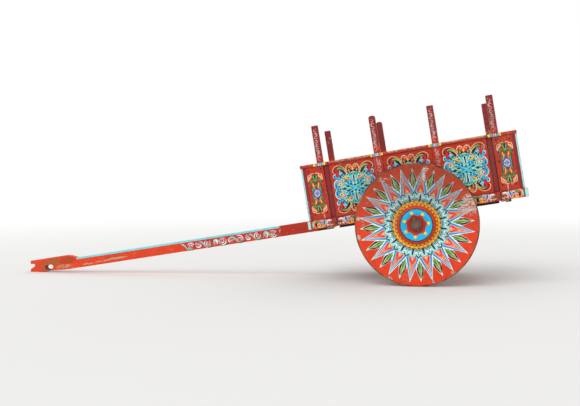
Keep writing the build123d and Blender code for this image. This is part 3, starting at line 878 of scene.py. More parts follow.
def on_wheel(sign):
    """Carries x and y, as seen from outside, and z outward to a wheel's outer face, all in mm."""
    def carry(x, y, z):
        return AXLE + Vector((-sign * x, sign * (disc_face(x, y) + z), y)) * MM
    return carry


# The wheel's rays and rings, drawn for the ray that points straight up, and how far past the top the first
# ray and the first dash of the lace stand, in degrees
RAYS = 16
RAY_PITCH = 360 / RAYS
RAY_START, LACE_START = 6.4, 7.5
RAY_HEEL, RAY_FOOT, RAY_TIP, LEAF_TIP = 326, 338, 580, 568
RAY_HALF = RAY_FOOT * math.tan(math.pi / RAYS)


def ray_outline(inset, tip=0):
    """A long triangle up to the ray's tip, drawn in by inset, with its heel under the lace."""
    half = RAY_HALF - inset
    heel = half - 4
    top = RAY_TIP - inset * (RAY_TIP - RAY_FOOT) / RAY_HALF + tip
    return ((-heel, RAY_HEEL), (heel, RAY_HEEL), (half, RAY_FOOT), (0, top), (-half, RAY_FOOT))


SALMON_RAY = (
    patch("white", 3, *ray_outline(0, 4)),
    patch("sky", 4, *ray_outline(4.5, 4)),
    *both_sides("ray_blue", 5, (8, 9, 8, 6, 4, 1), (-53, 334), (-46, 360), (-39, 392), (-31, 424),
                (-21, 466), (-13, 498)),
    stroke("cyan", 6, (1, 3, 3, 1), (-14, 500), (-9, 520), (-4, 540), (0, 556)),
    patch("white", 6, *ray_outline(25, 42)),
    patch("salmon", 7, *ray_outline(27.5, 48)),
    patch("cream", 8, (-14, 332), (0, 336), (14, 332), (0, 358)),
    stroke("orange", 9, (1, 3, 3, 1), (-9, 337), (0, 341), (9, 337)),
    dot("white", 9, 3, (-7, 344), (7, 345), (0, 354)),
    *both_sides("scarlet", 9, (5, 7, 7, 5, 2), (-33, 334), (-26, 350), (-17, 370), (-6, 390), (0, 406)),
    stroke("cream", 8, (1, 3, 1), (9, 412), (10, 426), (7, 440)),
    stroke("peach", 8, (2, 4, 4, 1), (-6, 436), (-4, 462), (0, 488), (0, 510)),
    dot("scarlet", 9, 4.5, (3, 456)),
    dot("orange", 9, 3.5, (-7, 424)),
    stroke("white", 8, (1, 4, 4, 1), (0, 544), (0, 558), (0, 570), (0, 583)),
)

GREEN_LEAF = (
    patch("white", 0, *two_sided((0, 330), (20, 368), (42, 432), (42, 454), (0, LEAF_TIP + 8))),
    patch("ochre", 1, *two_sided((0, 376), (34, 434), (34, 454), (0, LEAF_TIP - 14))),
    *both_sides("navy", 2, (3, 7, 8, 7, 3), (-29, 428), (-32, 448), (-25, 474), (-15, 508), (-5, 540)),
    *both_sides("navy", 3, (2, 6, 5, 1), (-15, 388), (-21, 414), (-22, 440), (-19, 468)),
    patch("white", 4, *two_sided((0, 352), (12, 384), (15, 430), (11, 470), (0, LEAF_TIP - 18))),
    patch("leaf", 5, *two_sided((0, 356), (11, 386), (14, 430), (10, 470), (0, LEAF_TIP - 22))),
    stroke("lime", 6, (1, 4, 3, 1), (-7, 392), (-8, 424), (-5, 462), (-1, 510)),
    stroke("green", 6, (2, 4, 5, 4, 1), (3, 372), (4, 396), (4, 428), (3, 466), (1, 512)),
    dot("dark_green", 7, 5.5, (-1, 376)),
    stroke("dark_green", 7, (2, 5, 4, 1), (3, 396), (4, 414), (4, 432), (3, 452)),
    stroke("orange", 3, (1, 3, 1), (-29, 440), (-27, 458), (-23, 474)),
)

# One cell of the lace, between two dashes: a teal bar, white petals, and a dark zigzag along the rays' feet
LACE_CELL = (
    stroke("teal", 3, (2, 4, 5, 5, 4, 2), (-48, 251), (-28, 255), (-9, 257), (9, 257), (28, 255), (48, 251)),
    *both_sides("cyan", 2, (3, 7, 7, 3), (-47, 262), (-46, 276), (-44, 292), (-40, 304)),
    *both_sides("white", 4, (3, 7, 8, 7, 3), (-44, 298), (-36, 284), (-22, 277), (-11, 285), (-7, 301)),
    *both_sides("sky", 5, (1, 3, 3, 1), (-33, 300), (-27, 288), (-18, 286), (-13, 300)),
    stroke("cyan", 2, (4, 8, 8, 4), (-30, 268), (-10, 276), (10, 276), (30, 268)),
    *both_sides("teal", 5, (1, 3, 3, 1), (-36, 272), (-24, 267), (-12, 268), (-2, 275)),
    *both_sides("white", 4, (2, 6, 6, 2), (-38, 310), (-29, 312), (-18, 317), (-8, 325)),
    stroke("teal", 5, (2, 4, 4, 2), (0, 284), (0, 291), (0, 299), (0, 306)),
    dot("teal", 6, 3.5, (-23, 298), (23, 298), (-40, 284), (40, 284)),
    *both_sides("ray_blue", 5, (3, 8, 8, 4), (-58, 326), (-46, 329), (-36, 325), (-27, 315)),
    stroke("teal", 6, 6.5, (-25, 308), (-13, 320), (0, 334), (13, 320), (25, 308), smooth=False),
    *both_sides("navy", 7, (2, 4, 2), (-27, 305), (-19, 314), (-7, 326)),
    dot("mint", 6, 5, (-37, 338), (14, 342)),
    dot("cyan", 6, 5, (-12, 344), (38, 338)),
)

LACE_DASH = (
    stroke("navy", 7, (9, 9.5, 8, 5), (0, 246), (0, 262), (0, 284), (1, 308)),
    stroke("maroon", 8, (1, 3, 1), (1, 260), (1, 272), (0, 286)),
)

BEADS = 32
BEAD = (
    dot("orange", 3, 9, (22, 222)),
    dot("maroon", 4, 3.5, (22, 223)),
    dot("maroon", 5, 6.5, (22.5, 240)),
    dot("yellow", 4, 15, (0, 229), sides=14),
    dot("orange", 5, 9, (1, 229)),
    dot("yellow", 6, 4.5, (-4, 225)),
    dot("maroon", 6, 3.2, (4, 232)),
)


RING_POINTS = 48


def full_ring(key, level, radius, half):
    """A stroke right round the wheel."""
    angles = [2 * math.pi * k / RING_POINTS for k in range(RING_POINTS)]
    points = [(radius * math.sin(a), radius * math.cos(a)) for a in angles]
    return stroke(key, level, half, *points, closed=True, smooth=False)


def turn_profile(name, sign, profile, finish, steps=96):
    """Turns a closed outline of (distance out, radius), in mm, about the wheels' axis."""
    bm = bmesh.new()
    ring = [bm.verts.new(AXLE + Vector((0, sign * s, r)) * MM) for s, r in profile]
    edges = [bm.edges.new(pair) for pair in zip(ring, ring[1:] + ring[:1])]
    bmesh.ops.spin(bm, geom=ring + edges, cent=AXLE, axis=(0, 1, 0), angle=2 * math.pi, steps=steps,
                   use_merge=True)
    bmesh.ops.remove_doubles(bm, verts=bm.verts, dist=WELD)
    bmesh.ops.recalc_face_normals(bm, faces=bm.faces)
    return smooth_sharp(to_mesh(bm, name, finish))


def smooth_sharp(mesh, degrees=32):
    """Smooth shading that keeps the edges sharper than so many degrees."""
    for face in mesh.polygons:
        face.use_smooth = True
    mesh.set_sharp_from_angle(angle=math.radians(degrees))
    return mesh


# The hub's outline, in mm: distance out from the cart's middle and radius
HUB_OUTLINE = (
    (757, 52), (590, 52), (590, 108), (591, 111), (594, 116), (602, 144), (612, 160), (624, 172), (627, 176),
    (631.6, 176), (631.6, 151), (726.8, 151), (725.7, 213), (730, 215), (731.6, 213), (732, 209), (736, 202),
    (742, 194), (749, 187.5), (757, 181), (764, 174), (770, 167.5), (773, 165), (775, 164.6), (777, 163),
    (778, 160), (777.6, 150), (777, 136), (776, 118), (775, 114), (773, 111), (770, 108), (766, 101),
    (762.6, 92),
    (759.6, 82), (757.6, 72), (757, 66),
)


# Studs on each hub: how many, the first one's degrees past the top, and in mm the ring they stand on, how far
# out their middles are, and their radius; then their height as a share of it, and the turn in degrees over
# which their shading is sharp
STUDS, STUD_START, STUD_RING, STUD_OUT, STUD_R = 7, 30.0, 122, 775.5, 17
STUD_FLATNESS, STUD_SHARP = 0.42, 60


def hub_enamel():
    """The hub's red, darker towards the middle as painted shade, with the scalloped blue ring under its
    yellow studs, a chain of yellow and orange scallops round its foot, and dirt and painted shade in the
    dish."""
    name = "hub_paint"
    if name in bpy.data.materials:
        return bpy.data.materials[name]
    material, tree = new_material(name)
    vector = cart_vector(tree)
    grime, chips, _ = weather_masks(tree, vector)
    radius = from_hub(tree, vector)
    along, across, above = parts_of(tree, wheel_place(tree))
    out = maths(tree, "ABSOLUTE", across)
    wobble = sloped(tree, noise(tree, vector, 60, detail=2), 0.006, -0.003)
    radius_hand = maths(tree, "ADD", radius, wobble)
    angle = maths(tree, "ARCTAN2", along, above)
    full_turn = 2 * math.pi

    # The blue ring, with a scallop round each stud and a navy rim
    shift = 0.5 - math.radians(STUD_START) * STUDS / full_turn + STUDS
    turns = sloped(tree, angle, STUDS / full_turn, shift)
    lobe = maths(tree, "ABSOLUTE", maths(tree, "SUBTRACT", maths(tree, "FRACT", turns), 0.5))
    lobe = maths(tree, "SUBTRACT", 1, times(tree, lobe, 2))
    inner = sloped(tree, maths(tree, "POWER", lobe, 2.6), 0.030, 0.096)
    front = fade(tree, out, 0.757, 0.758)
    ring = joined(tree, "MULTIPLY", [maths(tree, "GREATER_THAN", radius_hand, inner),
                                     maths(tree, "LESS_THAN", radius_hand, 0.161), front])
    rim = joined(tree, "MULTIPLY", [maths(tree, "GREATER_THAN", radius_hand, 0.1575), front,
                                    maths(tree, "LESS_THAN", radius_hand, 0.1665)])
    # The red turns darker towards the middle: painted shade in the dish
    ground = mix(tree, fade(tree, radius, 0.115, 0.075), chosen("wheel_red"), (0.42, 0.022, 0.016, 1))
    painted = mix(tree, rim, mix(tree, ring, ground, chosen("sky")), chosen("navy"))

    # The chain round the foot
    bead = sloped(tree, angle, BEADS / full_turn, BEADS)
    bead = maths(tree, "ABSOLUTE", maths(tree, "SUBTRACT", maths(tree, "FRACT", bead), 0.5))
    reach = sloped(tree, maths(tree, "POWER", bead, 2.0), -0.034, radius_hand)
    foot = maths(tree, "GREATER_THAN", out, 0.72)
    holes = times(tree, fade(tree, bead, 0.26, 0.32), fade(tree, radius_hand, 0.2045, 0.206))
    for mask, colour in ((fade(tree, reach, 0.1985, 0.1995), chosen("yellow")),
                         (fade(tree, reach, 0.2045, 0.206), chosen("orange")),
                         (holes, (0.20, 0.022, 0.012, 1))):
        painted = mix(tree, times(tree, foot, mask), painted, colour)

    # Dirt round the collar, and dirt with painted shade in the dish
    streaks = noise(tree, vector, 90, detail=4, roughness=0.6)
    tone = mix(tree, 1.0, painted, sloped(tree, streaks, 0.5, 0.72), "MULTIPLY")
    collar = times(tree, fade(tree, radius, 0.158, 0.168), maths(tree, "ADD", grime, 0.35))
    dish_dirt_and_shade = fade(tree, maths(tree, "ADD", radius, times(tree, streaks, 0.03)), 0.09, 0.065)
    dirt = maths(tree, "MAXIMUM", times(tree, collar, 0.6), times(tree, dish_dirt_and_shade, 0.75))
    dirty = mix(tree, maths(tree, "MAXIMUM", dirt, times(tree, grime, 0.3)), tone, DIRT_AND_SHADE_BROWN)
    final = mix(tree, chips, dirty, WOOD_GREY)
    rough = sloped(tree, dirt, 0.3, sloped(tree, streaks, 0.2, 0.32))
    height = sloped(tree, streaks, 0.6, times(tree, chips, -0.8))
    principled(tree, final, rough, height, distance=0.0008)
    return material


# The iron tyre's worn section: distance out from the cart's middle and radius
TYRE_OUTLINE = (
    (641, 613), (641, 619), (642, 622), (644.6, 624), (649, 624.8), (662, 625), (696, 625), (709, 624.8),
    (713.4, 624), (716, 622), (717, 619), (717, 613),
)


class CART_OT_tyres(bpy.types.Operator):
    """Rolls the iron tyres, their edges worn round"""
    bl_idname = "cart.tyres"
    bl_label = "Tyres"

    def execute(self, context):
        for name, sign in SIDES:
            iron = rusty_iron("road_worn_iron", dust=0.6)
            mesh = turn_profile(f"tyre_{name}_worn", sign, TYRE_OUTLINE, iron, steps=132)
            show(f"tyre_{name}_worn", mesh, f"{name}_wheel", "rusty_iron", f"wheel_{name}_tyre")
        return {"FINISHED"}


def hub_studs(name, sign):
    """The knobs on a hub's face."""
    bm = bmesh.new()
    for k in range(STUDS):
        a = math.radians(STUD_START + 360 / STUDS * k)
        place = AXLE + Vector((STUD_RING * math.sin(a), sign * STUD_OUT, STUD_RING * math.cos(a))) * MM
        squash = Matrix.Translation(place) @ stretched(1, STUD_FLATNESS)
        bmesh.ops.create_uvsphere(bm, u_segments=20, v_segments=12, radius=STUD_R * MM, matrix=squash)
    bmesh.ops.recalc_face_normals(bm, faces=bm.faces)
    return smooth_sharp(to_mesh(bm, name, enamel("yellow", "round")), STUD_SHARP)


class CART_OT_hubs(bpy.types.Operator):
    """Turns the hubs, with their scalloped blue rings and yellow studs"""
    bl_idname = "cart.hubs"
    bl_label = "Hubs"

    def execute(self, context):
        for name, sign in SIDES:
            hub = turn_profile(f"hub_{name}_turned", sign, HUB_OUTLINE, hub_enamel())
            show(f"hub_{name}_turned", hub, f"{name}_wheel", "red_paint", f"wheel_{name}_hub")
            studs = f"hub_{name}_studs"
            show(studs, hub_studs(studs, sign), f"{name}_wheel", "red_paint")
        return {"FINISHED"}


class CART_OT_wheel_rays(bpy.types.Operator):
    """Paints the rays, lace and beads on the wheels' discs"""
    bl_idname = "cart.wheel_rays"
    bl_label = "Wheel rays"

    def execute(self, context):
        for name, sign in SIDES:
            art = Artwork(seed=11, wander=1.2)
            art.draw(GREEN_LEAF, *round_wheel(RAYS, RAY_START + RAY_PITCH / 2))
            art.draw(SALMON_RAY, *round_wheel(RAYS, RAY_START))
            art.draw((full_ring("aqua", 0, 270, 24), full_ring("aqua", 1, 304, 25)))
            art.draw(LACE_CELL, *round_wheel(RAYS, LACE_START + RAY_PITCH / 2))
            art.draw(LACE_DASH, *round_wheel(RAYS, LACE_START))
            art.draw((full_ring("orange", 2, 226, 12), full_ring("maroon", 1, 233, 14)))
            art.draw(BEAD, *round_wheel(BEADS))
            art.build(f"wheel_{name}_rays", on_wheel(sign), f"{name}_wheel", "red_paint", wheel_enamel)
        return {"FINISHED"}


# The big panel's ornament, one quarter, in mm from its middle
PANEL_QUARTER = (
    patch("navy", 0, (0, 0), (0, 176), (30, 170), (62, 158), (92, 148), (110, 170), (124, 188), (148, 178),
          (156, 152), (170, 130), (158, 108), (186, 94), (202, 66), (206, 36), (196, 8), (170, 0)),
    patch("sea", 1, (0, 0), (0, 172), (30, 166), (62, 154), (92, 143), (110, 165), (124, 182), (144, 173),
          (150, 150), (162, 128), (152, 106), (180, 90), (196, 66), (200, 36), (190, 8), (164, 0)),
    # Top lobes
    stroke("salmon", 2, (5, 10, 11, 8), (8, 192), (16, 212), (32, 226), (48, 214)),
    stroke("peach", 3, (3, 4, 5, 5, 5, 4, 3), (2, 206), (12, 234), (32, 247), (54, 240), (67, 216), (69, 196),
           (60, 176)),
    stroke("cream", 4, (1, 2, 2, 1), (8, 230), (30, 245), (54, 240), (67, 216)),
    dot("scarlet", 4, 10, (17, 206)),
    stroke("orange", 4, (1, 4, 1), (24, 224), (33, 225), (40, 214)),
    stroke("dark_green", 5, (3, 7, 8, 5), (44, 224), (51, 206), (52, 188), (47, 172)),
    stroke("lime", 6, (2, 4, 5), (47, 198), (43, 182), (36, 168)),
    stroke("yellow", 5, (7, 9, 4), (0, 206), (0, 194), (0, 180)),
    stroke("navy", 6, (3, 11, 12, 4), (8, 184), (18, 177), (27, 169), (37, 160)),
    # Fan over the middle: pale ribs and one dark wedge
    dot("dark_green", 4, 8, (25, 148), (47, 151), (66, 138)),
    dot("navy", 5, 7, (16, 138), (38, 135)),
    stroke("white", 3, (1, 5, 5, 2), (7, 62), (10, 86), (12, 110), (14, 128)),
    stroke("teal", 3, (1, 2.4, 2.4, 1), (14, 58), (21, 82), (27, 104), (30, 122)),
    stroke("aqua", 4, (1, 5, 5, 2), (17, 60), (26, 82), (34, 102), (40, 120)),
    stroke("teal", 3, (1, 2.4, 2.4, 1), (26, 66), (38, 86), (48, 102), (54, 116)),
    stroke("white", 4, (1, 4, 2), (46, 118), (58, 128), (70, 134)),
    stroke("mint", 4, (1, 4, 2), (14, 150), (34, 158), (52, 150)),
    stroke("white", 5, (1, 3, 1), (2, 158), (16, 160), (30, 154)),
    stroke("navy", 6, (6, 10, 8, 4), (0, 130), (0, 114), (0, 92), (0, 62)),
    # Corner leaf, with its dark comma and double outline
    stroke("navy", 4, (3, 7, 9, 9, 8, 4), (58, 146), (74, 172), (98, 196), (124, 209), (150, 212),
           (172, 202)),
    stroke("cream", 5, (3, 5, 5), (60, 150), (72, 170), (88, 190)),
    stroke("lime", 6, (3, 8, 9, 8, 3), (80, 182), (96, 201), (118, 215), (142, 220), (160, 214)),
    stroke("green", 7, (2, 6, 8, 5), (108, 206), (130, 216), (150, 215), (168, 205)),
    dot("dark_green", 8, 7, (165, 207)),
    stroke("navy", 7, (4, 10, 11, 3), (84, 156), (96, 170), (108, 184), (122, 194)),
    stroke("cream", 3, 2.4, (68, 184), (80, 208), (100, 229), (128, 244), (156, 250), (184, 243), (205, 225),
           (213, 202), (209, 186), (198, 176)),
    stroke("maroon", 4, (1, 2, 4, 5, 5, 4), (104, 222), (130, 234), (155, 237), (178, 228), (193, 210),
           (197, 192)),
    stroke("navy", 5, (4, 10, 4), (196, 200), (195, 188), (188, 180)),
    # Maroon curl
    stroke("white", 3, 2.4, (136, 204), (133, 184), (142, 168), (152, 160)),
    dot("scarlet", 5, 15, (158, 184), sides=16),
    dot("maroon", 6, 12, (155, 185)),
    dot("navy", 7, 6.5, (156, 184)),
    stroke("scarlet", 5, (3, 5, 4, 2), (170, 180), (176, 168), (172, 156), (164, 150)),
    # Sky ground with white touches
    dot("sky", 3, 17, (124, 163)),
    dot("sky", 3, 13, (141, 157)),
    dot("blue", 4, 9, (118, 152)),
    stroke("navy", 5, (2, 5, 2), (102, 158), (112, 146), (124, 140)),
    stroke("white", 5, (1, 4, 2), (114, 172), (124, 162), (138, 155)),
    stroke("cyan", 4, (2, 5, 2), (120, 180), (132, 174), (142, 168)),
    # Second curl
    stroke("white", 2, (2, 3.5, 3.5, 3.5, 3.5, 2), (146, 100), (180, 107), (208, 122), (216, 142), (205, 161),
           (186, 160)),
    stroke("navy", 3, (3, 8, 10, 13, 14), (134, 104), (160, 108), (184, 118), (199, 134), (195, 144)),
    stroke("sky", 4, (3, 6, 8, 10), (134, 107), (160, 111), (183, 120), (198, 136)),
    dot("sky", 5, 14, (195, 143), sides=16),
    dot("blue", 6, 9, (198, 141)),
    dot("cyan", 7, 3.5, (189, 149)),
    stroke("maroon", 5, (4, 10, 10, 4), (126, 120), (138, 130), (150, 140), (162, 150)),
    stroke("scarlet", 6, (1, 5, 4, 1), (146, 142), (156, 149), (164, 150), (168, 144)),
    # The great scroll and its half blossom
    stroke("white", 2, (3, 4, 4, 4, 4, 4, 3), (112, 96), (144, 110), (178, 106), (205, 86), (219, 54),
           (213, 18),
           (190, -2)),
    stroke("navy", 3, (5, 11, 12, 12, 12, 11, 8), (116, 82), (144, 96), (172, 92), (194, 74), (205, 46),
           (201, 20),
           (182, 4)),
    stroke("sky", 4, (4, 8, 9, 9, 9, 8, 5), (118, 85), (144, 98), (172, 95), (194, 77), (206, 48), (203, 22),
           (184, 7)),
    stroke("blue", 5, (2, 7, 7, 3), (196, 62), (199, 44), (195, 28), (187, 18)),
    dot("navy", 6, 7, (193, 40)),
    stroke("cyan", 5, (1, 3, 3, 1), (128, 93), (148, 103), (172, 99), (190, 87)),
    dot("navy", 3, 33, (149, 54), sides=18),
    dot("aqua", 4, 29, (149, 54), sides=18),
    stroke("salmon", 5, (6, 10, 11, 10, 6), (117, 58), (129, 79), (152, 84), (173, 75), (181, 58)),
    stroke("scarlet", 6, (2, 7, 5), (164, 80), (175, 70), (178, 54)),
    stroke("peach", 6, (2, 4, 4, 1), (122, 68), (136, 82), (152, 86), (164, 82)),
    stroke("orange", 6, (4, 8, 9, 5), (124, 48), (132, 37), (144, 32), (152, 36)),
    stroke("yellow", 7, (1, 4, 1), (130, 40), (138, 33), (148, 33)),
    dot("navy", 7, 8.5, (151, 56)),
    dot("navy", 5, 16, (165, 26), sides=16),
    dot("sky", 6, 13, (166, 26), sides=16),
    dot("blue", 7, 8, (167, 24)),
    # Side middle
    stroke("navy", 6, (4, 8, 4), (98, 3), (112, 4), (128, 2)),
    stroke("white", 5, (1, 5, 5, 1), (112, 18), (130, 22), (150, 16), (170, 8)),
    stroke("teal", 4, (1, 3, 3, 1), (108, 12), (126, 13), (146, 8), (160, 2)),
    dot("teal", 6, 6.5, (136, 12)),
    dot("navy", 6, 6, (160, 8)),
    # Pale rings with dark hearts
    dot("teal", 4, 19, (96, 47), (113, 108), sides=16),
    dot("aqua", 5, 16.5, (96, 47), (113, 108), sides=16),
    dot("teal", 6, 10, (96, 46), (114, 107)),
    dot("navy", 7, 7, (97, 46), (114, 106)),
    stroke("white", 6, (1, 3.5, 3.5, 1), (84, 44), (85, 56), (94, 61), (104, 58)),
    stroke("white", 6, (1, 3.5, 3.5, 1), (101, 104), (102, 116), (110, 122), (120, 119)),
    stroke("white", 4, (1, 4, 4, 1), (90, 72), (106, 80), (116, 92), (112, 96)),
    stroke("navy", 5, (3, 8, 4), (78, 70), (90, 78), (106, 79)),
    # Orange petals
    stroke("navy", 4, (6, 12, 14, 13, 7), (36, 87), (57, 86), (79, 100), (96, 122), (104, 136)),
    stroke("orange", 5, (5, 10, 12, 10, 4), (40, 92), (60, 91), (78, 102), (92, 120), (101, 133)),
    stroke("salmon", 6, (5, 7, 3), (36, 92), (48, 92), (60, 95)),
    stroke("yellow", 6, (1, 5, 5, 1), (64, 92), (80, 103), (92, 116), (98, 128)),
    # Curls and crossing bands at the heart
    stroke("navy", 4, (7, 10, 10, 10, 9, 8, 7), (28, 54), (31, 74), (52, 83), (71, 71), (75, 52), (62, 36),
           (40, 24)),
    stroke("sky", 5, (5, 7, 7, 7, 6, 6, 5), (28, 56), (32, 74), (52, 82), (70, 70), (74, 52), (62, 38),
           (40, 27)),
    dot("blue", 6, 10, (37, 62), (64, 58)),
    dot("navy", 7, 6, (37, 60), (64, 56)),
    dot("aqua", 6, 6, (51, 64)),
    stroke("navy", 5, (8, 11, 12, 12), (72, 44), (47, 26), (22, 11), (-4, 0)),
    stroke("sky", 6, (6, 9, 10, 10), (72, 45), (47, 27), (22, 12), (-4, 0)),
    stroke("cyan", 7, (1, 4, 5, 4), (62, 40), (42, 27), (20, 13), (-2, 4)),
    stroke("white", 5, (1, 4, 4, 1), (10, 40), (14, 50), (24, 50), (26, 40)),
    dot("navy", 8, 9.5, (0, 30)),
    stroke("navy", 8, (5, 10, 6), (27, 34), (36, 40), (47, 43)),
    stroke("navy", 8, (5, 10.5, 5), (60, 16), (75, 22), (92, 27)),
    stroke("white", 5, (1, 4, 1), (56, 4), (72, 6), (90, 12)),
    dot("navy", 5, 8, (58, 112), (122, 142), (88, 146)),
    dot("navy", 6, 6, (84, 92), (10, 152), (142, 120)),
    dot("white", 5, 5, (76, 126), (20, 62), (100, 24), (70, 150)),
)

FOUR_WAYS = [stretched(x, y) for x in (1, -1) for y in (1, -1)]
# The middle of each panel's ornament, above the axle and along the bed, in mm
PANEL_HEIGHT = 474
PANELS = ((1, -567), (2, 10), (3, 577))


class CART_OT_panel_ornament(bpy.types.Operator):
    """Paints the three big panels of each side"""
    bl_idname = "cart.panel_ornament"
    bl_label = "Panel ornament"

    def execute(self, context):
        for name, sign in SIDES:
            for number, along in PANELS:
                art = Artwork(seed=20 + number, wander=1.5)
                art.draw(PANEL_QUARTER, *[spot(along, PANEL_HEIGHT) @ way for way in FOUR_WAYS])
                art.build(f"panel_{name}_{number}_ornament", on_side(sign, PANEL_FACE), "cart", "red_paint")
        return {"FINISHED"}


# End boards: each one's end, the middle of its ornament along the bed in mm, and its seed; then how high
# above the axle that middle is, in mm, and the share of its drawn width that it takes up
END_BOARDS = (("front", -972, 30), ("rear", 981, 32))
END_HEIGHT, END_SQUEEZE = 473, 0.88

# One quarter, from the middle of the board's ornament
END_QUARTER = (
    stroke("peach", 1, (4, 10, 10, 8), (30, 190), (52, 178), (70, 168), (78, 148)),
    stroke("salmon", 2, (3, 6, 6, 3), (36, 176), (52, 166), (66, 158), (70, 140)),
    stroke("scarlet", 2, (2, 5, 2), (42, 160), (52, 152), (60, 142)),
    stroke("cream", 3, 3.4, (10, 208), (32, 213), (48, 206), (58, 193), (74, 197), (88, 184), (85, 162),
           (91, 144),
           (82, 128), (70, 134)),
    stroke("peach", 2, 2.4, (26, 196), (42, 192), (50, 178), (66, 182), (76, 172), (72, 152), (78, 138)),
    dot("cream", 3, 5, (64, 176), (48, 190)),
    stroke("navy", 4, (4, 9, 12, 19, 17), (2, 96), (6, 128), (10, 156), (18, 178), (20, 192)),
    stroke("dark_green", 5, (2, 6, 9, 15, 13), (3, 100), (7, 130), (11, 158), (18, 178), (20, 190)),
    stroke("green", 6, (1, 4, 6, 9, 6), (4, 110), (8, 132), (12, 158), (18, 176), (22, 188)),
    stroke("lime", 7, (1, 3, 4, 2), (8, 134), (12, 158), (17, 174), (22, 186)),
    dot("dark_green", 6, 7, (25, 194)),
    stroke("white", 5, (1, 3, 3, 1), (0, 176), (2, 160), (2, 146), (0, 130)),
    stroke("navy", 6, (2, 6, 7, 2), (0, 178), (0, 166), (0, 154), (0, 142)),
    stroke("navy", 4, (6, 9, 10, 10, 9, 7), (3, 108), (18, 130), (40, 143), (62, 140), (76, 124), (68, 106)),
    stroke("dark_green", 5, (3, 6, 7, 7, 6, 5), (4, 108), (19, 129), (40, 141), (61, 138), (73, 124),
           (67, 108)),
    stroke("green", 6, (1, 4, 4, 4, 3, 2), (6, 112), (20, 131), (40, 142), (61, 139), (72, 124), (67, 110)),
    stroke("lime", 7, (1, 2.4, 2.4, 1), (18, 134), (38, 145), (58, 142), (72, 130)),
    dot("green", 5, 15, (60, 117)),
    dot("dark_green", 6, 9, (60, 117)),
    dot("lime", 7, 3, (64, 122)),
    stroke("maroon", 4, (2, 5, 2), (30, 128), (42, 118), (42, 104)),
    stroke("orange", 5, (2, 9, 10, 7, 2), (36, 116), (36, 102), (33, 88), (31, 76), (30, 64)),
    stroke("yellow", 6, (1, 5, 5, 1), (31, 108), (28, 94), (28, 80), (30, 68)),
    stroke("rose", 3, (2, 4, 4, 2), (70, 96), (82, 84), (78, 62), (66, 46)),
    stroke("pink", 3, (1, 3, 1), (86, 104), (84, 92), (76, 84)),
    stroke("navy", 4, (3, 10, 10, 10, 9), (70, 84), (56, 76), (49, 52), (50, 28), (56, 0)),
    stroke("dark_green", 5, (2, 6, 6, 6, 6), (66, 82), (55, 72), (49, 52), (50, 28), (55, 0)),
    stroke("green", 6, (1, 4, 4, 3, 3), (64, 81), (54, 71), (48, 52), (49, 28), (54, 0)),
    stroke("mint", 7, (1, 2, 2, 1), (52, 66), (46, 48), (47, 28), (52, 8)),
    dot("dark_green", 6, 6, (68, 84)),
    stroke("green", 4, (2, 6, 6, 3), (6, 96), (16, 76), (30, 60), (42, 34)),
    stroke("aqua", 5, (1, 3, 3, 1), (8, 88), (16, 70), (28, 54), (38, 36)),
    stroke("teal", 5, (2, 4, 2), (2, 98), (8, 80), (20, 62)),
    patch("blue", 5, (-1, 64), (8, 52), (24, 36), (44, 6), (46, 0), (-1, 0)),
    patch("lilac", 6, (-1, 48), (8, 40), (22, 28), (38, 4), (40, 0), (-1, 0)),
    stroke("white", 7, (2, 4, 4, 2), (10, 36), (20, 26), (26, 14), (34, 4)),
    stroke("white", 7, (1, 3, 1), (2, 32), (8, 22), (4, 12)),
    stroke("blue", 7, (1, 3, 3, 1), (6, 44), (16, 34), (30, 18), (38, 6)),
    dot("navy", 7, 6, (0, 56)),
)
END_HEART = (
    stroke("navy", 8, (2, 6, 5, 1), (-5, 0), (-11, 1), (-17, 0), (-24, 0)),
    stroke("navy", 8, (2, 6, 5, 1), (5, 0), (11, -1), (17, 0), (24, 0)),
    stroke("navy", 8, (2, 5, 5, 1), (0, 5), (1, 12), (0, 19), (0, 28)),
    stroke("navy", 8, (2, 5, 5, 1), (0, -5), (-1, -12), (0, -19), (0, -28)),
    dot("white", 9, 3.5, (0, 0)),
    dot("white", 9, 2.2, (-11, 12), (11, -12), (-11, -12), (11, 12)),
)

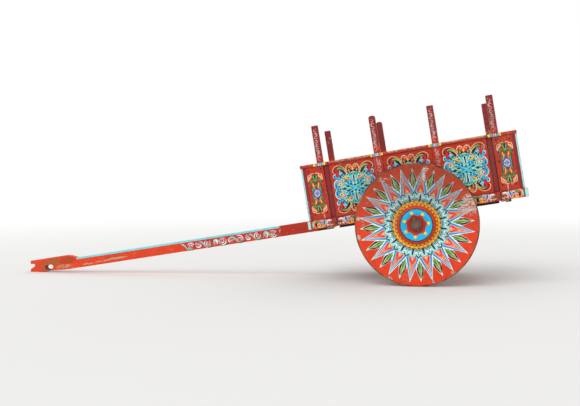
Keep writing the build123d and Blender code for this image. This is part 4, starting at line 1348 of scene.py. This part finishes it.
# The bottom rail's band repeats both ways from a bolt: pale curls, blue sweeps and a ringed flower
RAIL_HALF = (
    stroke("salmon", 0, (10, 36, 38, 36, 12), (100, 0), (130, 0), (160, 0), (190, 0), (214, 0)),
    stroke("orange", 1, (3, 7, 8, 7, 3), (112, -30), (136, -36), (160, -34), (186, -37), (206, -26)),
    stroke("peach", 1, (3, 6, 6, 3), (120, 36), (146, 33), (176, 38), (204, 30)),
    stroke("maroon", 0, (5, 9, 9, 5), (26, 36), (50, 40), (74, 38), (98, 40)),
    stroke("peach", 0, (8, 14, 15, 14, 6), (28, -16), (46, -20), (66, -20), (84, -16), (98, -4)),
    stroke("pale_pink", 1, (6, 15, 17, 15, 8), (34, 16), (50, 22), (68, 20), (84, 18), (94, 8)),
    stroke("peach", 2, (2, 6, 6, 2), (38, 30), (56, 36), (74, 34), (90, 28)),
    stroke("white", 2, (2, 7, 7, 2), (44, 26), (58, 32), (74, 28), (86, 20)),
    stroke("maroon", 3, (1, 5, 6, 1), (46, 6), (54, 12), (66, 14), (78, 12)),
    stroke("lilac", 4, (1, 3, 1), (54, 11), (62, 13), (70, 13)),
    stroke("white", 3, (2, 5, 2), (74, 6), (84, 9), (92, 2)),
    stroke("rose", 3, (2, 5, 1), (34, 6), (38, 14), (44, 20)),
    dot("pale_pink", 2, 13, (84, -26)),
    dot("pink", 3, 8, (85, -28)),
    dot("white", 4, 4, (79, -22)),
    stroke("navy", 2, (2, 7, 7, 2), (28, -4), (36, -10), (44, -12), (54, -9)),
    stroke("navy", 2, (2, 7, 6, 2), (58, -13), (66, -8), (74, -5), (84, -4)),
    stroke("teal", 3, (1, 3, 1), (64, -9), (71, -6), (78, -5)),
    stroke("dark_green", 2, (3, 9, 4), (24, 2), (34, -10), (50, -18)),
    stroke("dark_green", 2, (3, 9, 4), (56, -22), (70, -30), (84, -34)),
    stroke("green", 3, (1, 4, 1), (28, -4), (38, -14), (50, -17)),
    stroke("white", 2, (2, 5, 5, 2), (92, 40), (99, 22), (106, 2), (116, -26)),
    stroke("sky", 3, (4, 9, 9, 4), (103, 38), (109, 18), (116, -2), (125, -28)),
    stroke("blue", 4, (2, 6, 6, 2), (104, 32), (111, 14), (118, -6), (126, -26)),
    stroke("navy", 5, (2, 5, 2), (114, 34), (120, 18), (124, 2)),
    stroke("aqua", 3, (2, 6, 2), (118, 36), (126, 20), (126, 4)),
    stroke("sky", 3, (4, 11, 9, 3), (132, 22), (146, 18), (158, 14), (168, 16)),
    stroke("blue", 4, (2, 6, 3), (138, 20), (150, 15), (162, 14)),
    stroke("white", 4, (1, 3, 1), (134, 30), (148, 29), (160, 24)),
    stroke("dark_green", 2, (5, 10, 11, 10, 6), (158, 30), (186, 32), (206, 14), (206, -12), (190, -26)),
    stroke("green", 3, (3, 6, 7, 6, 3), (160, 30), (185, 30), (203, 13), (203, -10), (190, -23)),
    stroke("lime", 4, (1, 3, 1), (176, 34), (194, 28), (206, 12)),
    dot("teal", 4, 8, (200, -16)),
    stroke("teal", 3, (3, 7, 3), (148, 0), (146, -14), (154, -26)),
    stroke("mint", 4, (1, 3, 1), (145, -2), (142, -14), (148, -26)),
    stroke("navy", 5, (3, 8, 9, 4), (196, 14), (208, 2), (204, -14), (194, -24)),
    dot("navy", 5, 7, (186, 18), (150, -20)),
    dot("cream", 6, 20, (178, -9), sides=16),
    dot("salmon", 7, 17, (178, -9), sides=16),
    dot("scarlet", 8, 9, (178, -9)),
)
RAIL_END = (
    stroke("salmon", 3, (4, 10, 10, 10, 5), (198, 42), (226, 36), (236, 8), (232, -20), (212, -38)),
    stroke("cream", 4, (1, 3, 3, 1), (210, 40), (230, 28), (238, 4), (234, -20)),
    stroke("teal", 3, (3, 8, 8, 7, 3), (232, 40), (245, 24), (249, 2), (248, -22), (246, -38)),
    stroke("mint", 4, (1, 4, 4, 3, 1), (234, 34), (242, 20), (244, 0), (243, -22), (242, -36)),
)
RAIL_BOLTS = (-830, -410, 10, 430, 850)
RAIL_MIDDLE = 150
OUTER_BOLTS = 800

STAKE_SCROLL = (
    stroke("dusty_pink", 1, (2, 6, 6, 3), (-16, 810), (0, 806), (12, 818), (4, 832)),
    stroke("dusty_pink", 1, (3, 7, 7, 6, 3), (-14, 836), (-18, 852), (-4, 862), (12, 852), (6, 840)),
    stroke("pale_pink", 2, (1, 3, 3, 1), (-10, 842), (-12, 852), (-2, 857), (8, 850)),
    stroke("dusty_pink", 1, (3, 7, 8, 7, 6, 3), (16, 868), (-4, 872), (-18, 890), (-12, 914), (8, 922),
           (16, 906)),
    stroke("dusty_pink", 1, (3, 6, 6, 3), (12, 884), (-2, 890), (-2, 904), (8, 906)),
    stroke("pale_pink", 2, (1, 3, 3, 1), (6, 873), (-8, 884), (-13, 902), (-4, 914)),
    stroke("dusty_pink", 1, (3, 7, 7, 3), (18, 930), (2, 938), (-10, 932), (-20, 940)),
    stroke("dusty_pink", 1, (3, 7, 8, 7, 3), (-18, 958), (6, 952), (18, 970), (2, 984), (-14, 976)),
    stroke("pale_pink", 2, (1, 3, 3, 1), (-8, 959), (6, 959), (12, 970), (2, 978)),
    stroke("dusty_pink", 1, (3, 7, 8, 6, 3), (16, 990), (-4, 994), (-18, 1012), (-4, 1030), (12, 1020)),
    stroke("dusty_pink", 1, (2, 6, 6, 2), (-14, 1040), (2, 1036), (16, 1044), (18, 1056)),
    stroke("dusty_pink", 1, (3, 7, 8, 7, 6, 3), (14, 1060), (-6, 1058), (-18, 1076), (-10, 1098),
           (10, 1100), (14, 1084)),
    stroke("pale_pink", 2, (1, 3, 3, 1), (2, 1064), (-9, 1070), (-12, 1084), (-4, 1094)),
    stroke("dusty_pink", 1, (3, 6, 6, 3), (-16, 1112), (4, 1112), (16, 1126), (2, 1140)),
    dot("dusty_pink", 1, 6, (-14, 1144), (16, 948), (-18, 1046), (18, 836), (14, 1010)),
)
BATTEN_SCROLL = (
    stroke("dusty_pink", 1, (3, 7, 8, 4), (-16, 738), (-4, 722), (-8, 704), (-20, 694)),
    stroke("dusty_pink", 1, (3, 7, 8, 7, 3), (20, 716), (12, 694), (-6, 684), (-18, 664), (-4, 650)),
    stroke("dusty_pink", 1, (3, 7, 7, 6, 3), (-4, 650), (14, 652), (22, 670), (10, 682), (2, 670)),
    stroke("pale_pink", 2, (1, 3, 3, 1), (14, 702), (6, 690), (-8, 678), (-12, 664)),
    stroke("pale_pink", 2, (1, 3, 1), (8, 655), (16, 666), (10, 676)),
    stroke("dusty_pink", 1, (3, 7, 3), (-20, 638), (-4, 628), (14, 632)),
    dot("dusty_pink", 1, 20, (2, 596), sides=16),
    dot("wine", 2, 15, (2, 596), sides=16),
    dot("pale_pink", 3, 10, (3, 597)),
    dot("rose", 4, 5, (3, 597)),
    stroke("dusty_pink", 1, (3, 7, 6, 3), (-18, 570), (-4, 560), (12, 562), (20, 548)),
    dot("dusty_pink", 1, 6, (-20, 716), (20, 618), (-22, 612)),
)

BATTEN_MIDDLES = (-290, 311)

# The painted patch on the top rail over each stake: bands of colour across the rail's face, from its foot to
# its top, each with its place from the stake's middle and its half width, in mm
BAND_FOOT, BAND_TOP = 754, 783
RAIL_BANDS = (("yellow", -58, 9), ("orange", -46, 5), ("sky", -29, 9), ("teal", -17, 3), ("white", -10, 4),
              ("pink", 0, 7), ("white", 10, 4), ("teal", 16, 3), ("sky", 26, 8), ("orange", 40, 4),
              ("yellow", 52, 9))

# The pole's band of rosettes, with a vine that passes under one and over the next
ROSETTE = (
    dot("maroon", 1, 40, (0, 0), sides=20),
    dot("pink", 2, 36, (0, 0), sides=20),
    stroke("scarlet", 3, (2, 4, 5, 4, 2), (27, 12), (12, 27), (-10, 28), (-27, 12), (-28, -6)),
    stroke("white", 4, (1, 4, 5, 4, 1), (35, 2), (28, 23), (4, 36), (-21, 29), (-35, 10)),
    stroke("mint", 4, (2, 5, 5, 2), (-33, -8), (-22, -26), (0, -34), (22, -27)),
    stroke("maroon", 5, (1, 4, 4, 4, 1), (24, 4), (14, 21), (-8, 22), (-21, 8), (-18, -12)),
    stroke("scarlet", 5, (1, 5, 5, 1), (-14, -22), (4, -27), (20, -18), (27, -6)),
    stroke("white", 6, (1, 4, 4, 3, 1), (18, -6), (14, 11), (-2, 16), (-14, 7), (-13, -8)),
    dot("rose", 6, 11, (1, -3)),
    stroke("maroon", 7, (1, 3, 3, 1), (8, 6), (-4, 8), (-8, -1), (-2, -9)),
    dot("white", 8, 3, (3, -2)),
)
SMALL_ROSETTE = (
    dot("maroon", 1, 33, (0, 0), sides=16),
    dot("pink", 2, 29, (0, 0), sides=16),
    stroke("scarlet", 3, (2, 6, 6, 2), (22, 8), (4, 20), (-16, 13), (-21, -8)),
    stroke("white", 4, (1, 4, 6, 4, 1), (-25, -10), (-9, -24), (14, -22), (27, -4), (21, 9)),
    stroke("pale_pink", 4, (1, 4, 4, 1), (-12, -14), (2, -18), (14, -10)),
    stroke("mint", 4, (1, 5, 5, 1), (-12, 6), (0, 12), (11, 5), (11, -5)),
    dot("rose", 5, 8, (-2, -3)),
    dot("white", 6, 3, (-1, -2), (-20, 17)),
)
VINE = (
    stroke("umber", 1, (2, 5, 6, 6, 5, 2), (76, 24), (60, -26), (22, -46), (-24, -44), (-52, -20), (-58, 14)),
    stroke("green", 2, (1, 4, 5, 4, 1), (66, -14), (24, -42), (-22, -41), (-50, -16), (-56, 10)),
    stroke("mint", 6, (2, 7, 9, 7, 4, 2), (-104, 36), (-84, 33), (-62, 16), (-50, -8), (-40, -28),
           (-20, -40)),
    stroke("aqua", 7, (1, 4, 5, 2), (-98, 33), (-80, 29), (-64, 14), (-54, -4)),
    stroke("green", 7, (1, 4, 1), (-70, 28), (-56, 6), (-46, -18)),
    stroke("mint", 6, (1, 7, 5, 1), (84, 34), (72, 26), (66, 10), (70, -4)),
)
# Middle of each rosette along the bed and above it, and its size; then how far each is turned from the last,
# in radians
ROSETTES = ((-2582, 112, 1.12), (-2380, 110, 1.2), (-2200, 112, 1.2), (-2002, 110, 1.22), (-1794, 113, 1.16),
            (-1612, 110, 1.22))
SMALL_ROSETTES = ((-2488, 111, 1.3), (-2293, 110, 1.26), (-2101, 114, 1.34), (-1903, 112, 1.22),
                  (-1702, 108, 1.3))
ROSETTE_TURN = 1.9
VINES = (-2590, -2372, -2192, -1994, -1786, -1604)
POLE_MIDDLE = 112


def stake_middles(side):
    """Where each stake of a side stands along the bed, in mm."""
    found = []
    for number in range(1, 5):
        low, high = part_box(f"stake_{side}_{number}")
        middle = (low + high) / 2 - AXLE
        found.append(middle.dot(ALONG) / MM)
    return found


def paint_end_boards(name, sign):
    """Leaves and a lilac diamond on a side's two end boards."""
    for end, along, seed in END_BOARDS:
        art = Artwork(seed, wander=1.3)
        centre = spot(along, END_HEIGHT)
        art.draw(END_QUARTER, *[centre @ stretched(END_SQUEEZE) @ way for way in FOUR_WAYS])
        art.draw(END_HEART, centre)
        piece = f"end_board_{name}_{end}_ornament"
        art.build(piece, on_side(sign, END_FACE), "cart", "red_paint", end_enamel)


def paint_bottom_rail(name, sign):
    """The band along the bottom rail."""
    art = Artwork(seed=41, wander=1.4)
    for along in RAIL_BOLTS:
        centre = spot(along, RAIL_MIDDLE)
        art.draw(RAIL_HALF, centre, centre @ stretched(-1))
        if abs(along) > OUTER_BOLTS:
            art.draw(RAIL_END, centre @ stretched(1 if along > 0 else -1))
    art.build(f"bottom_rail_{name}_ornament", on_side(sign, RAIL_FACE), "cart", "red_paint")


def paint_scrolls(name, sign):
    """Scrolls up the stakes and battens."""
    art = Artwork(seed=51, wander=1.4)
    for number, middle in enumerate(stake_middles(name)):
        art.draw(STAKE_SCROLL, spot(middle, 0) @ stretched(1 if number % 2 else -1))
    art.build(f"stake_{name}_scrolls", on_side(sign, STAKE_FACE), "cart", "wine_paint")
    art = Artwork(seed=61, wander=1.4)
    art.draw(BATTEN_SCROLL, *[spot(middle, 0) for middle in BATTEN_MIDDLES])
    art.build(f"batten_{name}_scrolls", on_side(sign, BATTEN_FACE), "cart", "wine_paint")


def paint_top_rail(name, sign):
    """Bands on the top rail over each stake."""
    art = Artwork(seed=71, wander=0.8)
    bands = [patch(key, 1, (at - half, BAND_FOOT), (at + half, BAND_FOOT), (at + half, BAND_TOP),
                   (at - half, BAND_TOP)) for key, at, half in RAIL_BANDS]
    art.draw(bands, *[spot(middle, 0) for middle in stake_middles(name)])
    art.build(f"top_rail_{name}_bands", on_side(sign, TOP_RAIL_FACE), "cart", "red_paint")


def paint_pole(name, sign):
    """Rosettes and their vine along the pole."""
    art = Artwork(seed=81, wander=1.2)
    for marks, places in ((ROSETTE, ROSETTES), (SMALL_ROSETTE, SMALL_ROSETTES)):
        for number, (along, above, size) in enumerate(places):
            place = spot(along, above) @ Matrix.Rotation(number * ROSETTE_TURN, 4, "Z")
            art.draw(marks, place @ Matrix.Scale(size, 4))
    art.draw(VINE, *[spot(along, POLE_MIDDLE) for along in VINES])
    art.build(f"pole_{name}_ornament", on_side(sign, POLE_FACE), "cart", "red_paint", pole_enamel)


class CART_OT_side_ornament(bpy.types.Operator):
    """Paints the end boards, battens, stakes and rails"""
    bl_idname = "cart.side_ornament"
    bl_label = "Side ornament"

    def execute(self, context):
        for name, sign in SIDES:
            paint_end_boards(name, sign)
            paint_bottom_rail(name, sign)
            paint_scrolls(name, sign)
            paint_top_rail(name, sign)
            paint_pole(name, sign)
        return {"FINISHED"}


# Bolts and nails: places along the bed and above the axle, in mm
RAIL_BOLT_PLACES = ((-830, 150), (850, 150))
STRAP_NUT_PLACES = ((-90, 38), (90, 38))
STRAP_MIDDLE = 420
# The nails that hold the floor: the bearers' lines, the boards' pitch, their top, and each board's two nails,
# along and across from where its middle crosses a bearer
BEARER_LINES = (-896, -290, 311, 910)
BOARD_PITCH, FLOOR_TOP = 129.1, 206
BOARD_NAILS = ((-9, -22), (8, 22))
# The nails in the top rails: places along the bed, out from its middle, and above the axle
CAP_NAILS, CAP_NAIL_OUT, CAP_TOP = (-1050, -600, 140, 620, 1060), 499, 784


def bed_frame(u, y, w, outward):
    """Turns a fastener's own z to face outward, at a place of the bed."""
    axis = ALONG * outward[0] + Vector((0, outward[1], 0)) + ABOVE * outward[2]
    place = AXLE + ALONG * (u * MM) + Vector((0, y * MM, 0)) + ABOVE * (w * MM)
    return Matrix.Translation(place) @ axis.to_track_quat("Z", "Y").to_matrix().to_4x4()


def fastener(bm, place, *layers):
    """A stack of turned or square layers: sides, radius below, radius above, from, to, in mm."""
    for sides, low, high, start, end in layers:
        middle = Matrix.Translation((0, 0, (start + end) / 2 * MM))
        bmesh.ops.create_cone(bm, cap_ends=True, segments=sides, radius1=low * MM, radius2=high * MM,
                              depth=(end - start) * MM, matrix=place @ middle)


def fasteners(name, places, layers, finish):
    """One kind of fastener at all its places."""
    bm = bmesh.new()
    for place in places:
        fastener(bm, place, *layers)
    show(name, smooth_sharp(to_mesh(bm, name, finish)), "cart", "rusty_iron")


class CART_OT_fasteners(bpy.types.Operator):
    """Adds the bolts, nuts and nails"""
    bl_idname = "cart.fasteners"
    bl_label = "Bolts and nails"

    def execute(self, context):
        iron = rusty_iron("rusty_iron")
        signs = [sign for _, sign in SIDES]
        bolts = [bed_frame(u, sign * RAIL_FACE, w, (0, sign, 0))
                 for u, w in RAIL_BOLT_PLACES for sign in signs]
        fasteners("rail_bolt_washers", bolts, ((24, 17, 16.4, -2, 2.4), (6, 12.5, 12, 2, 9)), iron)
        fasteners("rail_bolt_ends", bolts, ((16, 7, 7, 2, 12), (16, 7, 3, 12, 14.5)),
                  rusty_iron("rubbed_iron", 0.9))
        nuts = [bed_frame(u, sign * STRAP_MIDDLE, w, (0, 0, -1))
                for u, w in STRAP_NUT_PLACES for sign in signs]
        fasteners("strap_nuts", nuts, ((4, 15, 15, -1, 10), (16, 7, 6, 9, 18)), iron)
        nails = [bed_frame(u + along, (k - 3.5) * BOARD_PITCH + across, FLOOR_TOP, (0, 0, 1))
                 for u in BEARER_LINES for k in range(1, 7) for along, across in BOARD_NAILS]
        nails += [bed_frame(u, sign * CAP_NAIL_OUT, CAP_TOP, (0, 0, 1)) for u in CAP_NAILS for sign in signs]
        fasteners("nails", nails, ((10, 5, 4.4, -1, 0.7), (10, 4.4, 2.2, 0.7, 1.5)), iron)
        return {"FINISHED"}


# The stage: the camera's place in metres, its turns in radians and its lens in mm, as fitted to the photo
CAMERA_PLACE = Vector((1.99897, -9.380, 1.093))
CAMERA_YAW, CAMERA_PITCH, CAMERA_ROLL = 0.1805, -0.0286, -0.0025
SENSOR_WIDTH = 36
CAMERA_LENS = 853 / 580 * SENSOR_WIDTH
# The floor's radius, the point about which it is pale, and from how far to how far it runs out to white
FLOOR_R, FLOOR_MIDDLE, PALE_TO, WHITE_FROM = 90, (2.6, 0, 0), 4.0, 16.0
# Lamps: name, the way each shines, its strength, and its spread in degrees
LAMPS = (("key_lamp", (0.35, 0.75, -0.8), 1.25, 50), ("back_lamp", (-0.4, -0.8, -0.7), 0.55, 60))


def blended(tree, factor, first, second):
    """The output of one shader turned towards another's."""
    made = node(tree, "MixShader", {0: factor, 1: first.outputs[0], 2: second.outputs[0]})
    return made.outputs[0]


def world_background(scene):
    """Even soft light, and plain white where the camera, gloss or glass sees past the floor."""
    world = bpy.data.worlds.new("studio")
    scene.world = world
    world.use_nodes = True
    tree = world.node_tree
    tree.nodes.clear()
    path = node(tree, "LightPath")
    kinds = ("Glossy", "Transmission", "Camera")
    seen = joined(tree, "MAXIMUM", [path.outputs[f"Is {kind} Ray"] for kind in kinds])
    soft = node(tree, "Background", {"Color": (1, 1, 1, 1), "Strength": 0.62})
    plain = node(tree, "Background", {"Color": (1, 1, 1, 1), "Strength": 1.0})
    node(tree, "OutputWorld", {"Surface": blended(tree, seen, soft, plain)})


def floor_material():
    """Pale floor that takes the cart's shadow and runs out to white."""
    material, tree = new_material("pale_floor")
    away = length(tree, vector_maths(tree, "SUBTRACT", object_place(tree), FLOOR_MIDDLE))
    path = node(tree, "LightPath")
    seen = maths(tree, "MAXIMUM", path.outputs["Is Camera Ray"], path.outputs["Is Glossy Ray"])
    matt = node(tree, "BsdfDiffuse", {"Color": (0.86, 0.855, 0.84, 1)})
    white = node(tree, "Emission", {"Color": (1, 1, 1, 1), "Strength": 1.0})
    far = times(tree, fade(tree, away, PALE_TO, WHITE_FROM), seen)
    node(tree, "OutputMaterial", {"Surface": blended(tree, far, matt, white)})
    return material


def sun(name, towards, strength, spread):
    """A broad soft lamp that shines the way given."""
    lamp = bpy.data.lights.new(name, "SUN")
    lamp.energy = strength
    lamp.angle = math.radians(spread)
    made = bpy.data.objects.new(name, lamp)
    made.rotation_euler = Vector(towards).to_track_quat("-Z", "Y").to_euler()
    bpy.context.scene.collection.objects.link(made)


class CART_OT_stage(bpy.types.Operator):
    """Adds the floor, the soft light and the camera"""
    bl_idname = "cart.stage"
    bl_label = "Stage"

    def execute(self, context):
        scene = context.scene
        scene.view_settings.view_transform = "Standard"
        world_background(scene)
        bm = bmesh.new()
        bmesh.ops.create_circle(bm, cap_ends=True, segments=64, radius=FLOOR_R)
        floor = bpy.data.objects.new("floor", to_mesh(bm, "floor", floor_material()))
        scene.collection.objects.link(floor)
        for lamp in LAMPS:
            sun(*lamp)
        camera = bpy.data.cameras.new("camera")
        camera.lens = CAMERA_LENS
        camera.sensor_width = SENSOR_WIDTH
        camera.sensor_fit = "HORIZONTAL"
        made = bpy.data.objects.new("camera", camera)
        scene.collection.objects.link(made)
        aim = Matrix.Rotation(CAMERA_YAW, 4, "Z") @ Matrix.Rotation(math.pi / 2 + CAMERA_PITCH, 4, "X")
        made.matrix_world = Matrix.Translation(CAMERA_PLACE) @ aim @ Matrix.Rotation(CAMERA_ROLL, 4, "Z")
        scene.camera = made
        return {"FINISHED"}


class CART_PT_sidebar(bpy.types.Panel):
    """Lists the steps that dress the cart"""
    bl_idname = "CART_PT_sidebar"
    bl_label = "Bullock cart"
    bl_space_type = "VIEW_3D"
    bl_region_type = "UI"
    bl_category = "Cart"

    def draw(self, context):
        settings = context.scene.bullock_cart
        column = self.layout.column()
        for name in settings.weather.__annotations__:
            column.prop(settings.weather, name)
        for operator in STEPS:
            column.operator(operator.bl_idname)
        for name in settings.paints.__annotations__:
            column.prop(settings.paints, name)


STEPS = (CART_OT_stage, CART_OT_finishes, CART_OT_tyres, CART_OT_hubs, CART_OT_wheel_rays,
         CART_OT_panel_ornament, CART_OT_side_ornament, CART_OT_fasteners)
CLASSES = (CartPaints, CartWeather, CartSettings, *STEPS, CART_PT_sidebar)


def register():
    for item in CLASSES:
        bpy.utils.register_class(item)
    bpy.types.Scene.bullock_cart = bpy.props.PointerProperty(type=CartSettings)


def unregister():
    del bpy.types.Scene.bullock_cart
    for item in reversed(CLASSES):
        bpy.utils.unregister_class(item)


def main():
    register()
    for operator in STEPS:
        getattr(bpy.ops.cart, operator.bl_idname.split(".")[1])()


if __name__ == "__main__":
    main()
